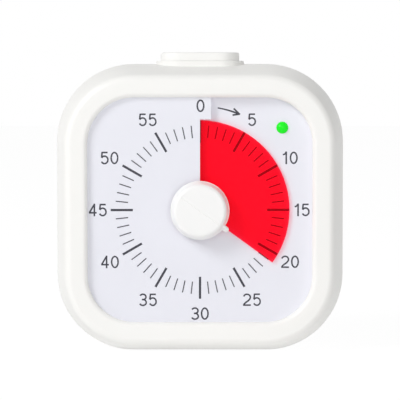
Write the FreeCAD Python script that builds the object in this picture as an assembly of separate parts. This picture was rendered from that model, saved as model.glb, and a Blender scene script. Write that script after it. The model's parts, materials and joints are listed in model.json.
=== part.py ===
import FreeCAD, Part
import math
import os

# Visual countdown timer: a square moulded case with a recessed dial, a red time disc that
# slides out through a slit in the dial, a setting knob, a top button and a green lamp.
# Millimetres. X is right, Z is up, the dial faces -Y and the part stands on Z = 0.
# Depth is written as w, counted forward from the low edge of the dial's middle surface.
# Dial angles are degrees clockwise from 12 o'clock, as the user sees them.

V = FreeCAD.Vector

# Driving dimensions of the case
CASE_WIDTH = 90.0
FRONT_SHELL_DEPTH = 18.0
WALL = 2.0
BASE_FLAT_CUT = 0.62
FRONT_TAPER = 3.82
REAR_DRAFT_DEG = 2.5
CORNER_RADIUS = 24.3
FRONT_CORNER_RADIUS = 21.0
FRONT_EDGE_ROUND = 1.0
BACK_EDGE_ROUND = 7.0
BEZEL_WIDTH = 6.53
OPENING_WIDTH = CASE_WIDTH - 2 * FRONT_TAPER - 2 * BEZEL_WIDTH
OPENING_CORNER = 14.4
LIP_ROUND = 1.45
SKIRT_WALL = 1.6
SKIRT_BACK_W = -1.5
SEAM_TONGUE = 0.95
SEAM_HEIGHT = 1.5
SEAM_GAP = 0.1
SEAM_KEEP = 0.2
SEAM_END = 3.2
SEAM_BELOW = 3.0

# How far a cutting shape passes the face it opens, and a grown shape reaches into its wall
THROUGH = 1.0
FAR = 20.0
ROOT = 0.2
WIRE_SIDES = 5

# The dial is a ramp that climbs one pitch in one turn
RAMP_PITCH = 2.0
DIAL_SHEET = 0.6
DIAL_OVERLAP = 2.65
DIAL_WIDTH = OPENING_WIDTH + 2 * DIAL_OVERLAP
DIAL_CORNER = 16.0
DIAL_BORE = 5.2
DIAL_GAP = 0.15
TAB_WIDTH = 3.4
TAB_ROOT = 0.5
RAMP_STEP_DEG = 10.0
RAMP_SPARE = 25.35
RAMP_REACH = OPENING_WIDTH / 2 + RAMP_SPARE
CLEARANCE_SPARE = 10.0
RIM_W = 3.9
DIAL_SPAN_W = 6.0

# Time disc, its hub and the shaft
DISC_MARGIN = 7.05
DISC_RADIUS = OPENING_WIDTH / 2 - DISC_MARGIN
SLIT_GAP = 0.3
SLIT_RADIUS = DISC_RADIUS + SLIT_GAP
DISC_SHEET = 0.3
DISC_LIFT = 1.0
DISC_EXTENT_DEG = 357.0
DISC_STEP_DEG = 7.0
MINUTES_SHOWN = 21.0
HUB_RADIUS = 4.2
HUB_FRONT_W = 2.2
HUB_BACK_W = -1.2
HUB_GRIP = 0.4
SHAFT_RADIUS = 2.0
SHAFT_FLAT = 1.5
SLIDE_FIT = 0.06
SPINDLE_RADIUS = 1.5
SPINDLE_SHORT = 0.3
SECTION_END = 1.0

# Setting knob
KNOB_BASE_RADIUS = 9.05
KNOB_FACE_RADIUS = 8.0
KNOB_FACE_ROUND = 0.8
KNOB_STEP = 0.35
KNOB_STEP_BEVEL = 0.2
KNOB_WALL = 1.4
KNOB_BOSS_RADIUS = 3.5
KNOB_BOSS_RELIEF = 0.6
KNOB_BACK_W = 3.4
KNOB_FRONT_W = 7.6
KNOB_FLANGE = 0.9
KNOB_FACE_WALL = 1.2
NUB_REACH = 10.9
NUB_WIDTH = 2.1
NUB_HEIGHT = 1.9
NUB_ROOT = 1.6
NUB_ROUND = 0.4
GROOVE_WIDTH = 0.7
GROOVE_DEPTH = 0.3
GROOVE_RISE = 0.1

# Where the dial's centre, the case's top and the seam lie
DIAL_Z = CASE_WIDTH / 2 - BASE_FLAT_CUT
CASE_TOP_Z = DIAL_Z + CASE_WIDTH / 2
PARTING_W = RIM_W - FRONT_SHELL_DEPTH
FRONT_HALF = CASE_WIDTH / 2 - FRONT_TAPER
REST_ANGLE = MINUTES_SHOWN * 6.0

# Movement bracket and the bosses that hold it
BRACKET_FRONT_W = -1.5
BRACKET_SHEET = 1.8
BRACKET_BACK_W = BRACKET_FRONT_W - BRACKET_SHEET
BRACKET_MARGIN = 3.65
BRACKET_WIDTH = OPENING_WIDTH - 2 * BRACKET_MARGIN
BRACKET_CORNER = 9.0
EAR_INSET = 2.25
EAR_PLACE = OPENING_WIDTH / 2 - EAR_INSET
EAR_RADIUS = 2.1
EAR_FRONT_W = -0.9
EAR_BORE = 3.6
FOOT_INSET = 3.9
FOOT_PLACE = EAR_PLACE - FOOT_INSET
FOOT_RADIUS = 1.7
PAD_SHIFT = 1.632
PAD_PLACE = FOOT_PLACE + PAD_SHIFT
PAD_RADIUS = 2.9
FOOT_BORE_TOP = 0.1
FOOT_SCREW_REACH = 1.3
BRACKET_HOLE = 0.8
LENS_HOLE = 0.2
POST_RADIUS = 2.0
POST_BORE = 4.0
POST_SCREW_REACH = 3.5
SMALL_SCREW = 0.8
SMALL_REACH = 0.2
SMALL_HEAD = 1.5
SMALL_HEAD_HEIGHT = 0.9
SMALL_CLEARANCE = 0.95

# Movement, a small closed gearbox behind the bracket
MOVEMENT_WIDTH = 40.0
MOVEMENT_HEIGHT = 36.0
MOVEMENT_CORNER = 3.0
MOVEMENT_DEPTH = 11.4
MOVEMENT_WALL = 1.0
MOVEMENT_FRONT_W = BRACKET_BACK_W
MOVEMENT_BACK_W = MOVEMENT_FRONT_W - MOVEMENT_DEPTH
MOVEMENT_EAR_REACH = 2.6
MOVEMENT_EAR_X = MOVEMENT_WIDTH / 2 + MOVEMENT_EAR_REACH
MOVEMENT_EAR_INSET = 5.0
MOVEMENT_EAR_Z = MOVEMENT_HEIGHT / 2 - MOVEMENT_EAR_INSET
MOVEMENT_EAR_LIFT = 0.5
MOVEMENT_EAR_BACK_W = MOVEMENT_BACK_W + MOVEMENT_EAR_LIFT
MOVEMENT_EAR_SHEET = 1.5
MOVEMENT_EAR_W = MOVEMENT_EAR_BACK_W + MOVEMENT_EAR_SHEET
LOW_WINDOW_HALF = 12.0
LOW_WINDOW_GAP = 3.0
LOW_WINDOW_HEIGHT = 6.0
LOW_WINDOW_TOP = -MOVEMENT_HEIGHT / 2 - LOW_WINDOW_GAP
SIDE_WINDOW_HALF = 6.0
SIDE_WINDOW_GAP = 2.0
SIDE_WINDOW_WIDTH = 5.5
SIDE_WINDOW_NEAR = MOVEMENT_WIDTH / 2 + SIDE_WINDOW_GAP

# Gear train
MODULE = 0.25
ADDENDUM = 0.2
DEDENDUM = 0.27
TOOTH_ROOT_HALF = 0.19
TOOTH_TIP_HALF = 0.07
GEAR_SHEET = 0.6
MAIN_TEETH = 48
WHEEL_TEETH = 40
PINION_TEETH = 8
MAIN_W = -4.8
THIRD_W = -6.6
FOURTH_W = -8.2
PINION_MARGIN = 0.4
ARBOR_RADIUS = 0.6
PIVOT_RADIUS = 0.4
PIVOT_FIT = 0.05
PIVOT_DEPTH = 0.6
END_FLOAT = 0.1
THIRD_DIRECTION = 225.0
FOURTH_DIRECTION = 180.0
ROTOR_DIRECTION = 90.0
MAGNET_RADIUS = 2.0
MAGNET_HEIGHT = 2.0

# Clutch, its retaining ring, and the code disc with its wipers
CLUTCH_RADIUS = 3.4
CLUTCH_SHEET = 0.2
CLUTCH_DISH = 0.35
CLUTCH_FLAT = 0.3
RING_HEIGHT = 0.8
RING_SHEET = 0.3
RING_SPLIT = 1.2
CODE_RADIUS = 5.0
CODE_W = -9.5
CODE_SHEET = 0.4
WIPER_SHEET = 0.2
WIPER_WIDTH = 1.2
WIPER_TIP_X = 3.0
WIPER_END_X = 16.0
WIPER_FOOT = 3.0
WIPER_HALF = 2.4

# Stepper motor
STATOR_SHEET = 0.8
STATOR_W = -10.8
STATOR_BORE = 2.5
STATOR_WIDTH = 15.0
STATOR_LEG = 2.5
COIL_RADIUS = 2.3
CORE_HEIGHT = 3.0
CORE_OFFSET = 11.5
STATOR_SHIFT = 1.45
STATOR_LOW = 3.0
STATOR_PIN_INSET = 1.2
STATOR_PIN_RADIUS = 0.9
STATOR_PIN_HOLE = 0.5
WINDOW_LOW = 3.4
BOBBIN_FLANGE = 0.9
BOBBIN_FLANGE_RISE = 0.2
BOBBIN_WALL_Z = 0.25
BOBBIN_WALL_W = 0.3

# Top button and its collar
BUTTON_LENGTH = 24.6
BUTTON_WIDTH = 12.4
BUTTON_GAP = 0.15
COLLAR_LENGTH = 27.6
COLLAR_WIDTH = 15.0
COLLAR_RISE = 1.0
COLLAR_ROOT = 3.88
COLLAR_BOTTOM_Z = CASE_TOP_Z - COLLAR_ROOT
COLLAR_ROUND = 0.45
BORE_BELOW = 6.0
BUTTON_RISE = 2.6
BUTTON_WALL = 1.5
BUTTON_ROUND = 0.7
BUTTON_TRAVEL = 1.0
BUTTON_FLANGE = 1.2
FLANGE_REACH = 1.2
STOP_GAP = 0.05
SPRING_PLACE = 8.0
SPRING_SEAT = 2.6
SPRING_COIL = 1.7
SPRING_WIRE = 0.22
SPRING_TURNS = 5
STEM_RADIUS = 1.6
BUTTON_DROP = 9.3
BOARD_TOP_Z = COLLAR_BOTTOM_Z - BUTTON_DROP
BOARD_SHEET = 1.2
HANGER_W = -9.5
HANGER_RADIUS = 2.2
HANGER_X = COLLAR_LENGTH / 2 + HANGER_RADIUS
HANGER_BORE = 4.0
BUTTON_BOARD_EDGE = 2.5
BUTTON_BOARD_FRONT = 7.0
BUTTON_BOARD_BACK = 5.0
SWITCH_HALF = 3.0
SWITCH_BODY = 3.5
PLUNGER_RADIUS = 1.7
PLUNGER_HEIGHT = 1.5
PLUNGER_GAP = 0.02

# Batteries: two AA cells
CELL_RADIUS = 7.1
CELL_LENGTH = 50.5
CELL_NUB = 1.0
CELL_NUB_RADIUS = 2.7
SPRING_ROOM = 7.0
BAY_LENGTH = CELL_LENGTH + SPRING_ROOM
BAY_HEIGHT = 30.2
BAY_BOTTOM_Z = 8.6
BAY_WALL = 1.0
CELL_GAP = 0.3
CELL_BACK_GAP = 1.2
BAY_DEPTH = 2 * CELL_RADIUS + CELL_GAP + CELL_BACK_GAP
CONTACT_SHEET = 0.3
CONTACT_HALF = 5.0
CONE_FOOT = 4.4
CONE_TOP = 2.8
CONE_WIRE = 0.35
CONE_TURNS = 4
DOOR_SHEET = 1.8
DOOR_GAP = 0.15
DOOR_LEDGE = 0.75
DOOR_PIN = 0.6
DOOR_PIN_REACH = 1.0
DOOR_PIN_FIT = 0.08
DOOR_PIN_END = 0.2
FINGER_RADIUS = 5.0
FINGER_RISE = 2.0
FINGER_DEPTH = 1.1
RIB_HALF = 6.0
RIB_WIDTH = 0.7
RIB_PITCH = 1.4
RIB_DEPTH = 0.4
RIB_START = 4.0
RIB_COUNT = 4

# The back lies where the stack of movement, battery bay and wall ends
MOVEMENT_GAP = 0.7
INSIDE_BACK_W = MOVEMENT_BACK_W - MOVEMENT_GAP - BAY_WALL - BAY_DEPTH
BACK_W = INSIDE_BACK_W - WALL
CASE_DEPTH = RIM_W - BACK_W
DIAL_Y = (BACK_W + KNOB_FRONT_W) / 2
REAR_TAPER = (CASE_DEPTH - FRONT_SHELL_DEPTH) * math.tan(math.radians(REAR_DRAFT_DEG))
BACK_HALF = CASE_WIDTH / 2 - REAR_TAPER
BACK_CORNER = CORNER_RADIUS - REAR_TAPER

# Rear face
COLUMN_RADIUS = 3.0
COLUMN_GAP = 0.25
SCREW_X = BAY_LENGTH / 2 + BAY_WALL + COLUMN_RADIUS + COLUMN_GAP
SCREW_Z = 27.0
BOSS_RADIUS = 2.6
BOSS_FRONT_W = -4.4
BOSS_WEB_HALF = 0.6
CASE_SCREW = 0.95
CASE_SCREW_FIT = 0.15
CASE_SCREW_HEAD = 1.7
CASE_SCREW_HEAD_HEIGHT = 1.4
CASE_SCREW_BORE = 8.0
CASE_SCREW_END_GAP = 2.0
HEAD_RECESS_RADIUS = 1.95
HEAD_RECESS_DEPTH = 6.0
DRIVE_DEPTH = 0.35
DRIVE_HALF = 0.2
DRIVE_SHARE = 0.6
REAR_FEATURE_X = 20.0
REAR_FEATURE_DROP = 23.38
REAR_FEATURE_Z = CASE_TOP_Z - REAR_FEATURE_DROP
BUZZER_RADIUS = 7.0
BUZZER_DEPTH = 5.0
BUZZER_PORT = 1.2
BUZZER_RING_WALL = 1.1
BUZZER_RING_FIT = 0.05
BUZZER_RING_HEIGHT = 3.0
GRILLE_HALF = 5.0
GRILLE_SHORTER = 1.0
GRILLE_PITCH = 2.2
GRILLE_SLOT_HALF = 0.5
PROP_X = 11.0
PROP_HALF = 0.6
PROP_SET_BACK = 2.0
PROP_HEIGHT = 5.0

# Sound switch
SWITCH_TRAVEL = 2.0
SLIDER_HALF = 2.0
SLIDER_HALF_Z = 1.2
SLIDER_GAP = 0.3
SLIDER_SEAT = 0.05
SLIDER_SET_BACK = 0.1
SLIDER_RIB_PITCH = 1.1
SLIDER_RIB_HALF = 0.2
SLIDER_RIB_DEPTH = 0.35
WINDOW_HALF_Z = 1.4
DISH_SIDE = 1.5
DISH_HALF_Z = 3.6
DISH_CORNER = 1.8
DISH_DEPTH = 0.8
SWITCH_BODY_HALF = 4.5
SWITCH_BODY_HALF_Z = 2.4
SWITCH_BODY_LIFT = 0.8
SWITCH_BODY_BACK_W = INSIDE_BACK_W + SWITCH_BODY_LIFT
SWITCH_BODY_DEPTH = 3.5
SWITCH_STOP_GAP = 0.1
SWITCH_STOP_SHEET = 1.0
SWITCH_STOP_HEIGHT = 3.0

# Lamp
LAMP_INSET = 9.3
LAMP_OFFSET = OPENING_WIDTH / 2 - LAMP_INSET
LENS_RADIUS = 1.7
LENS_FLANGE = 2.3
LENS_FLANGE_SHEET = 0.7
LENS_FIT = 0.05
LENS_SEAT_GAP = 0.06
LENS_SHOULDER_W = 0.95
LENS_DOME_RADIUS = 2.3
LENS_DIAL_ANGLE = 45.0
LAMP_RADIUS = 1.45
LAMP_DOME_W = -2.4
LAMP_BACK_W = -6.4
LAMP_FLANGE_RADIUS = 1.7
LAMP_FLANGE_SHEET = 0.8
LEG_RADIUS = 0.25
LEG_PLACE = 0.9

# Main board
MAIN_BOARD_FRONT_W = -8.0
MAIN_BOARD_BACK_W = MAIN_BOARD_FRONT_W - BOARD_SHEET
MAIN_BOARD_SIDE_GAP = 2.0
MAIN_BOARD_HALF = SCREW_X - COLUMN_RADIUS - MAIN_BOARD_SIDE_GAP
MAIN_BOARD_LOW_GAP = 0.4
MAIN_BOARD_LOW_Z = DIAL_Z + MOVEMENT_HEIGHT / 2 + MAIN_BOARD_LOW_GAP
MAIN_BOARD_TOP_GAP = 1.02
MAIN_BOARD_TOP_Z = BOARD_TOP_Z - BOARD_SHEET - MAIN_BOARD_TOP_GAP
MAIN_BOARD_MIDDLE_Z = (MAIN_BOARD_LOW_Z + MAIN_BOARD_TOP_Z) / 2
BOARD_BOSS_RADIUS = 1.9
BOARD_BOSS_INSET = 4.0
BOARD_BOSS_RISE = 2.2
BOARD_SCREW_LENGTH = 4.5
BOSS_BORE_END = 0.5
CHIP_X = -6.0
CHIP_RISE = 1.0
CHIP_Z = MAIN_BOARD_MIDDLE_Z + CHIP_RISE
CHIP_HALF_X = 2.5
CHIP_HALF_Z = 2.0
CHIP_LIFT = 0.1
CHIP_HEIGHT = 1.6
CHIP_LEGS = 4
CHIP_LEG_PITCH = 1.27
CHIP_LEG_HALF = 0.2
CHIP_LEG_REACH = 3.0
CHIP_LEG_HEIGHT = 0.5
CHIP_LEG_START = 1.9
CRYSTAL_RADIUS = 1.0
CRYSTAL_LENGTH = 6.0
CRYSTAL_X = 2.0
CAPACITOR_RADIUS = 2.5
CAPACITOR_HEIGHT = 5.0
CAPACITOR_X = 14.0
CAPACITOR_RISE = 1.5


def at(x, w, z):
    """A point from its side, depth and height."""
    return V(x, DIAL_Y - w, z)


def polar(radius, angle, w):
    """A point on the dial from its radius, dial angle and depth."""
    turn = math.radians(angle)
    return at(radius * math.sin(turn), w, DIAL_Z + radius * math.cos(turn))


def rod(radius, x, z, front, back):
    """A cylinder along the depth, between two depths."""
    return Part.makeCylinder(radius, front - back, at(x, front, z), V(0, 1, 0))


def post(radius, x, w, bottom, top):
    """An upright cylinder."""
    return Part.makeCylinder(radius, top - bottom, at(x, w, bottom), V(0, 0, 1))


def box(x0, x1, front, back, z0, z1):
    """A block between two sides, two depths and two heights."""
    return Part.makeBox(x1 - x0, front - back, z1 - z0, at(x0, front, z0))


def rounded_outline(half_x, half_z, radius, w, x=0.0, z=DIAL_Z):
    """A rectangle with round corners, facing the user."""
    edges = []
    corners = [(1, 1, 0), (-1, 1, 90), (-1, -1, 180), (1, -1, 270)]
    ends = []
    for side, level, start in corners:
        cx = x + side * (half_x - radius)
        cz = z + level * (half_z - radius)
        points = []
        for turn in (start, start + 45, start + 90):
            angle = math.radians(turn)
            points.append(at(cx + radius * math.cos(angle), w, cz + radius * math.sin(angle)))
        ends.append(points)
    for index, points in enumerate(ends):
        edges.append(Part.Arc(points[0], points[1], points[2]).toShape())
        following = ends[(index + 1) % 4][0]
        if (following - points[2]).Length > 1e-6:
            edges.append(Part.LineSegment(points[2], following).toShape())
    return Part.Wire(edges)


def rounded_block(half_x, half_z, radius, front, back, x=0.0, z=DIAL_Z):
    """A straight prism with round corners."""
    return Part.Face(rounded_outline(half_x, half_z, radius, front, x, z)).extrude(V(0, front - back, 0))


def tapered(half_a, radius_a, w_a, half_b, radius_b, w_b):
    """A tapered square solid with round corners between two depths."""
    first = rounded_outline(half_a, half_a, radius_a, w_a)
    second = rounded_outline(half_b, half_b, radius_b, w_b)
    return Part.makeLoft([first, second], True, True)


def stadium(length, width, bottom, top, w=PARTING_W):
    """An upright prism with a long round-ended plan, centred on the case's parting plane."""
    radius = width / 2
    reach = length / 2 - radius
    core = box(-reach, reach, w + radius, w - radius, bottom, top)
    left = post(radius, -reach, w, bottom, top)
    right = post(radius, reach, w, bottom, top)
    return core.fuse([left, right]).removeSplitter()


def outline_prism(points, front, back):
    """A prism from corner points (x, z), between two depths."""
    corners = [at(x, front, z) for x, z in points]
    face = Part.Face(Part.makePolygon(corners + corners[:1]))
    return face.extrude(V(0, front - back, 0))


def solid_from_faces(loops):
    """A closed solid from flat faces, each given by its corners."""
    faces = [Part.Face(Part.makePolygon(list(loop) + [loop[0]])) for loop in loops]
    shell = Part.makeShell(faces)
    shell.sewShape()
    solid = Part.Solid(shell)
    if solid.Volume < 0:
        solid.reverse()
    return solid


def ramp(angle):
    """Depth of the dial's middle surface at a dial angle."""
    return RAMP_PITCH * angle / 360.0


def ramp_solid(inner, outer, start, end, step, low, high):
    """A solid ring between two surfaces, low(angle) and high(angle), made of flat facets."""
    count = round((end - start) / step)
    angles = [start + (end - start) * index / count for index in range(count + 1)]
    loops = []
    for a, b in zip(angles, angles[1:]):
        for surface in (low, high):
            near_a, far_a = polar(inner, a, surface(a)), polar(outer, a, surface(a))
            near_b, far_b = polar(inner, b, surface(b)), polar(outer, b, surface(b))
            loops.append((near_a, far_a, far_b))
            loops.append((near_a, far_b, near_b))
        for radius in (inner, outer):
            loops.append((
                polar(radius, a, low(a)),
                polar(radius, b, low(b)),
                polar(radius, b, high(b)),
                polar(radius, a, high(a)),
            ))
    for angle in (start, end):
        loops.append((
            polar(inner, angle, low(angle)),
            polar(outer, angle, low(angle)),
            polar(outer, angle, high(angle)),
            polar(inner, angle, high(angle)),
        ))
    return solid_from_faces(loops)


def coil_tube(centre, direction, side, radii, turns, length, wire, per_turn, sides):
    """An open helical spring of flat facets. radii gives the coil's first and last radius."""
    across = direction.cross(side)
    rings = []
    total = int(turns * per_turn)
    rise = (length - 2 * wire) / total
    for index in range(total + 1):
        share = index / total
        radius = radii[0] + (radii[1] - radii[0]) * share
        angle = 2 * math.pi * index / per_turn
        outward = side * math.cos(angle) + across * math.sin(angle)
        middle = centre + direction * (wire + rise * index) + outward * radius
        ring = []
        for corner in range(sides):
            turn = 2 * math.pi * corner / sides
            ring.append(middle + outward * (wire * math.cos(turn)) + direction * (wire * math.sin(turn)))
        rings.append(ring)
    loops = [tuple(rings[0]), tuple(rings[-1])]
    for lower, upper in zip(rings, rings[1:]):
        for corner in range(sides):
            following = (corner + 1) % sides
            loops.append((lower[corner], lower[following], upper[following]))
            loops.append((lower[corner], upper[following], upper[corner]))
    return solid_from_faces(loops)


def quarters(place_x, place_z):
    """The four places mirrored about the dial's centre."""
    return [(sx * place_x, DIAL_Z + sz * place_z) for sx in (-1, 1) for sz in (-1, 1)]


def case_half_at(w):
    """Half the outer width of the front shell at a depth."""
    return FRONT_HALF + FRONT_TAPER * (RIM_W - w) / FRONT_SHELL_DEPTH


def dial_clearance(gap):
    """Everything from the dial's front surface back, grown by a gap, to trim the case with."""
    top = DIAL_SHEET / 2 + gap
    floor = -DIAL_SPAN_W
    below = ramp_solid(
        DISC_RADIUS,
        RAMP_REACH + CLEARANCE_SPARE,
        0.0,
        360.0,
        RAMP_STEP_DEG,
        lambda a: floor,
        lambda a: ramp(a) + top,
    )
    tab_top = RAMP_PITCH + top
    tab = box(-TAB_WIDTH, TAB_WIDTH + gap, tab_top, floor, DIAL_Z + DISC_RADIUS, CASE_TOP_Z)
    half = DIAL_WIDTH / 2 + gap
    return below.fuse(tab).common(rounded_block(half, half, DIAL_CORNER + gap, RIM_W, floor))


def collar_block():
    """The raised collar round the button, before the parting plane splits it."""
    top = CASE_TOP_Z + COLLAR_RISE
    outer = stadium(COLLAR_LENGTH, COLLAR_WIDTH, COLLAR_BOTTOM_Z, top)
    rim = [edge for edge in outer.Edges if edge.BoundBox.ZMin > top - 1e-3]
    return outer.makeFillet(COLLAR_ROUND, rim)


def collar_bore():
    """The hole that the button slides in."""
    length = BUTTON_LENGTH + 2 * BUTTON_GAP
    width = BUTTON_WIDTH + 2 * BUTTON_GAP
    return stadium(length, width, COLLAR_BOTTOM_Z - BORE_BELOW, CASE_TOP_Z + FAR)


def seam_end(reach):
    """Where the seam's tongue and groove stop, a little past the collar's ends."""
    half = COLLAR_LENGTH / 2 + reach
    return box(-half, half, 0.0, BACK_W, COLLAR_BOTTOM_Z - SEAM_BELOW, CASE_TOP_Z + FAR)


def front_side():
    """Half space in front of the parting plane."""
    return box(-CASE_WIDTH, CASE_WIDTH, RIM_W + FAR, PARTING_W, -CASE_WIDTH, 2 * CASE_WIDTH)


def rear_side():
    """Half space behind the parting plane."""
    return box(-CASE_WIDTH, CASE_WIDTH, PARTING_W, BACK_W - FAR, -CASE_WIDTH, 2 * CASE_WIDTH)


def above_table():
    """Half space above the flat strip that the timer stands on."""
    return box(-CASE_WIDTH, CASE_WIDTH, RIM_W + FAR, BACK_W - FAR, 0.0, 2 * CASE_WIDTH)


def front_shell():
    """Bezel and front half of the case, with its bosses."""
    outer = tapered(FRONT_HALF, FRONT_CORNER_RADIUS, RIM_W, CASE_WIDTH / 2, CORNER_RADIUS, PARTING_W)
    rim = [edge for edge in outer.Edges if edge.BoundBox.YMax < DIAL_Y - RIM_W + 1e-3]
    outer = outer.makeFillet(FRONT_EDGE_ROUND, rim)
    half = OPENING_WIDTH / 2
    opening = rounded_block(half, half, OPENING_CORNER, RIM_W + THROUGH, PARTING_W - THROUGH)
    bezel = outer.cut(opening)
    bezel = bezel.makeFillet(LIP_ROUND, [edge for edge in bezel.Edges if is_lip_edge(edge)])
    inside_w = RIM_W - WALL
    inside_half = case_half_at(inside_w) - WALL
    inner = tapered(
        inside_half,
        FRONT_CORNER_RADIUS - WALL,
        inside_w,
        CASE_WIDTH / 2 - WALL,
        CORNER_RADIUS - WALL,
        PARTING_W,
    )
    shell = bezel.cut(inner)
    skirt_half = half + SKIRT_WALL
    skirt = rounded_block(skirt_half, skirt_half, OPENING_CORNER + SKIRT_WALL, inside_w + ROOT, SKIRT_BACK_W)
    shell = shell.fuse(skirt.cut(opening))
    shell = shell.cut(dial_clearance(DIAL_GAP))
    ear_places = quarters(EAR_PLACE, EAR_PLACE)
    ears = [rod(EAR_RADIUS, x, z, inside_w + ROOT, EAR_FRONT_W).cut(opening) for x, z in ear_places]
    shell = shell.fuse(ears)
    for x, z in ear_places:
        shell = shell.cut(rod(SMALL_SCREW, x, z, EAR_FRONT_W + EAR_BORE, EAR_FRONT_W - THROUGH))
    for x, z in quarters(SCREW_X, SCREW_Z):
        side = 1 if x > 0 else -1
        boss = rod(BOSS_RADIUS, x, z, BOSS_FRONT_W, PARTING_W)
        wall_x = side * (CASE_WIDTH / 2 - WALL / 2)
        ends = sorted((x, wall_x))
        web = box(*ends, BOSS_FRONT_W, PARTING_W, z - BOSS_WEB_HALF, z + BOSS_WEB_HALF)
        shell = shell.fuse([boss, web.common(outer)])
        shell = shell.cut(rod(CASE_SCREW, x, z, PARTING_W + CASE_SCREW_BORE, PARTING_W - THROUGH))
    shell = shell.fuse(collar_block().common(front_side()))
    for side in (-1, 1):
        x = side * HANGER_X
        hanger = post(HANGER_RADIUS, x, HANGER_W, BOARD_TOP_Z, DIAL_Z + case_half_at(HANGER_W) - WALL / 2)
        shell = shell.fuse(hanger)
        shell = shell.cut(post(SMALL_SCREW, x, HANGER_W, BOARD_TOP_Z - THROUGH, BOARD_TOP_Z + HANGER_BORE))
    shell = shell.cut(collar_bore())
    groove_half = CASE_WIDTH / 2 - WALL + SEAM_TONGUE + SEAM_GAP
    groove_corner = CORNER_RADIUS - WALL + SEAM_TONGUE + SEAM_GAP
    groove_top = PARTING_W + SEAM_HEIGHT + SEAM_GAP
    groove = rounded_block(groove_half, groove_half, groove_corner, groove_top, PARTING_W)
    keep_half = CASE_WIDTH / 2 - WALL - SEAM_KEEP
    keep = rounded_block(
        keep_half,
        keep_half,
        CORNER_RADIUS - WALL - SEAM_KEEP,
        groove_top,
        PARTING_W,
    )
    around_button = seam_end(SEAM_END)
    shell = shell.cut(groove.cut(keep).cut(around_button))
    return shell.common(above_table())


def is_lip_edge(edge):
    """True for the front edge of the dial opening."""
    bounds = edge.BoundBox
    in_rim = bounds.YMin > DIAL_Y - RIM_W - 1e-3 and bounds.YMax < DIAL_Y - RIM_W + 1e-3
    half = OPENING_WIDTH / 2 + 0.01
    inside = bounds.XMax < half and bounds.XMin > -half and bounds.ZMax < DIAL_Z + half
    return in_rim and inside


def bay_z():
    """Bottom and top of the battery bay."""
    return BAY_BOTTOM_Z, BAY_BOTTOM_Z + BAY_HEIGHT


def rear_shell():
    """Rear half of the case with the battery bay, screw columns, grille and switch slot."""
    outer = tapered(CASE_WIDTH / 2, CORNER_RADIUS, PARTING_W, BACK_HALF, BACK_CORNER, BACK_W)
    rim = [edge for edge in outer.Edges if edge.BoundBox.YMin > DIAL_Y - BACK_W - 1e-3]
    outer = outer.makeFillet(BACK_EDGE_ROUND, rim)
    inner = tapered(
        CASE_WIDTH / 2 - WALL,
        CORNER_RADIUS - WALL,
        PARTING_W,
        BACK_HALF - WALL,
        BACK_CORNER - WALL,
        INSIDE_BACK_W,
    )
    rim = [edge for edge in inner.Edges if edge.BoundBox.YMin > DIAL_Y - INSIDE_BACK_W - 1e-3]
    inner = inner.makeFillet(BACK_EDGE_ROUND - WALL, rim)
    shell = outer.cut(inner)
    tongue_half = CASE_WIDTH / 2 - WALL + SEAM_TONGUE
    tongue = rounded_block(
        tongue_half,
        tongue_half,
        CORNER_RADIUS - WALL + SEAM_TONGUE,
        PARTING_W + SEAM_HEIGHT,
        PARTING_W,
    )
    hollow_half = CASE_WIDTH / 2 - WALL
    hollow = rounded_block(hollow_half, hollow_half, CORNER_RADIUS - WALL, PARTING_W + SEAM_HEIGHT, PARTING_W)
    around_button = seam_end(SEAM_END + SEAM_KEEP)
    shell = shell.fuse(tongue.cut(hollow).cut(around_button))
    shell = shell.fuse(collar_block().common(rear_side()))
    shell = shell.cut(collar_bore())
    low, high = bay_z()
    bay_half = BAY_LENGTH / 2
    bay_front = INSIDE_BACK_W + BAY_DEPTH
    bay_outer = box(
        -bay_half - BAY_WALL,
        bay_half + BAY_WALL,
        bay_front + BAY_WALL,
        INSIDE_BACK_W - WALL / 4,
        low - BAY_WALL,
        high + BAY_WALL,
    )
    shell = shell.fuse(bay_outer.common(outer))
    shell = shell.cut(box(-bay_half, bay_half, bay_front, BACK_W - THROUGH, low, high))
    door_half, door_low, door_high = door_bounds()
    recess = box(
        -door_half - DOOR_GAP,
        door_half + DOOR_GAP,
        BACK_W + DOOR_SHEET + DOOR_GAP,
        BACK_W - THROUGH,
        door_low - DOOR_GAP,
        door_high + DOOR_GAP,
    )
    shell = shell.cut(recess)
    pin_w, pin_z = door_axis()
    reach = door_half + DOOR_PIN_REACH + DOOR_PIN_END
    pin_bore = Part.makeCylinder(DOOR_PIN + DOOR_PIN_FIT, 2 * reach, at(-reach, pin_w, pin_z), V(1, 0, 0))
    shell = shell.cut(pin_bore)
    finger = rod(FINGER_RADIUS, 0.0, door_high + FINGER_RISE, BACK_W + FINGER_DEPTH, BACK_W - THROUGH)
    shell = shell.cut(finger)
    for x, z in quarters(SCREW_X, SCREW_Z):
        column = rod(COLUMN_RADIUS, x, z, PARTING_W, INSIDE_BACK_W - WALL / 4)
        shell = shell.fuse(column.common(outer))
        seat = BACK_W + HEAD_RECESS_DEPTH
        shell = shell.cut(rod(HEAD_RECESS_RADIUS, x, z, seat, BACK_W - THROUGH))
        shell = shell.cut(rod(CASE_SCREW + CASE_SCREW_FIT, x, z, PARTING_W + THROUGH, seat - THROUGH))
    shell = shell.cut(grille())
    shell = shell.cut(switch_window())
    shell = shell.fuse(buzzer_ring())
    for side in (-1, 1):
        shell = shell.fuse([switch_stop(side), board_prop(side)])
    return shell.common(above_table()).removeSplitter()


def buzzer_ring():
    """The raised ring that centres the buzzer."""
    front = INSIDE_BACK_W + BUZZER_RING_HEIGHT
    ring = rod(BUZZER_RADIUS + BUZZER_RING_WALL, REAR_FEATURE_X, REAR_FEATURE_Z, front, INSIDE_BACK_W)
    return ring.cut(rod(BUZZER_RADIUS + BUZZER_RING_FIT, REAR_FEATURE_X, REAR_FEATURE_Z, 0.0, BACK_W))


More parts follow.
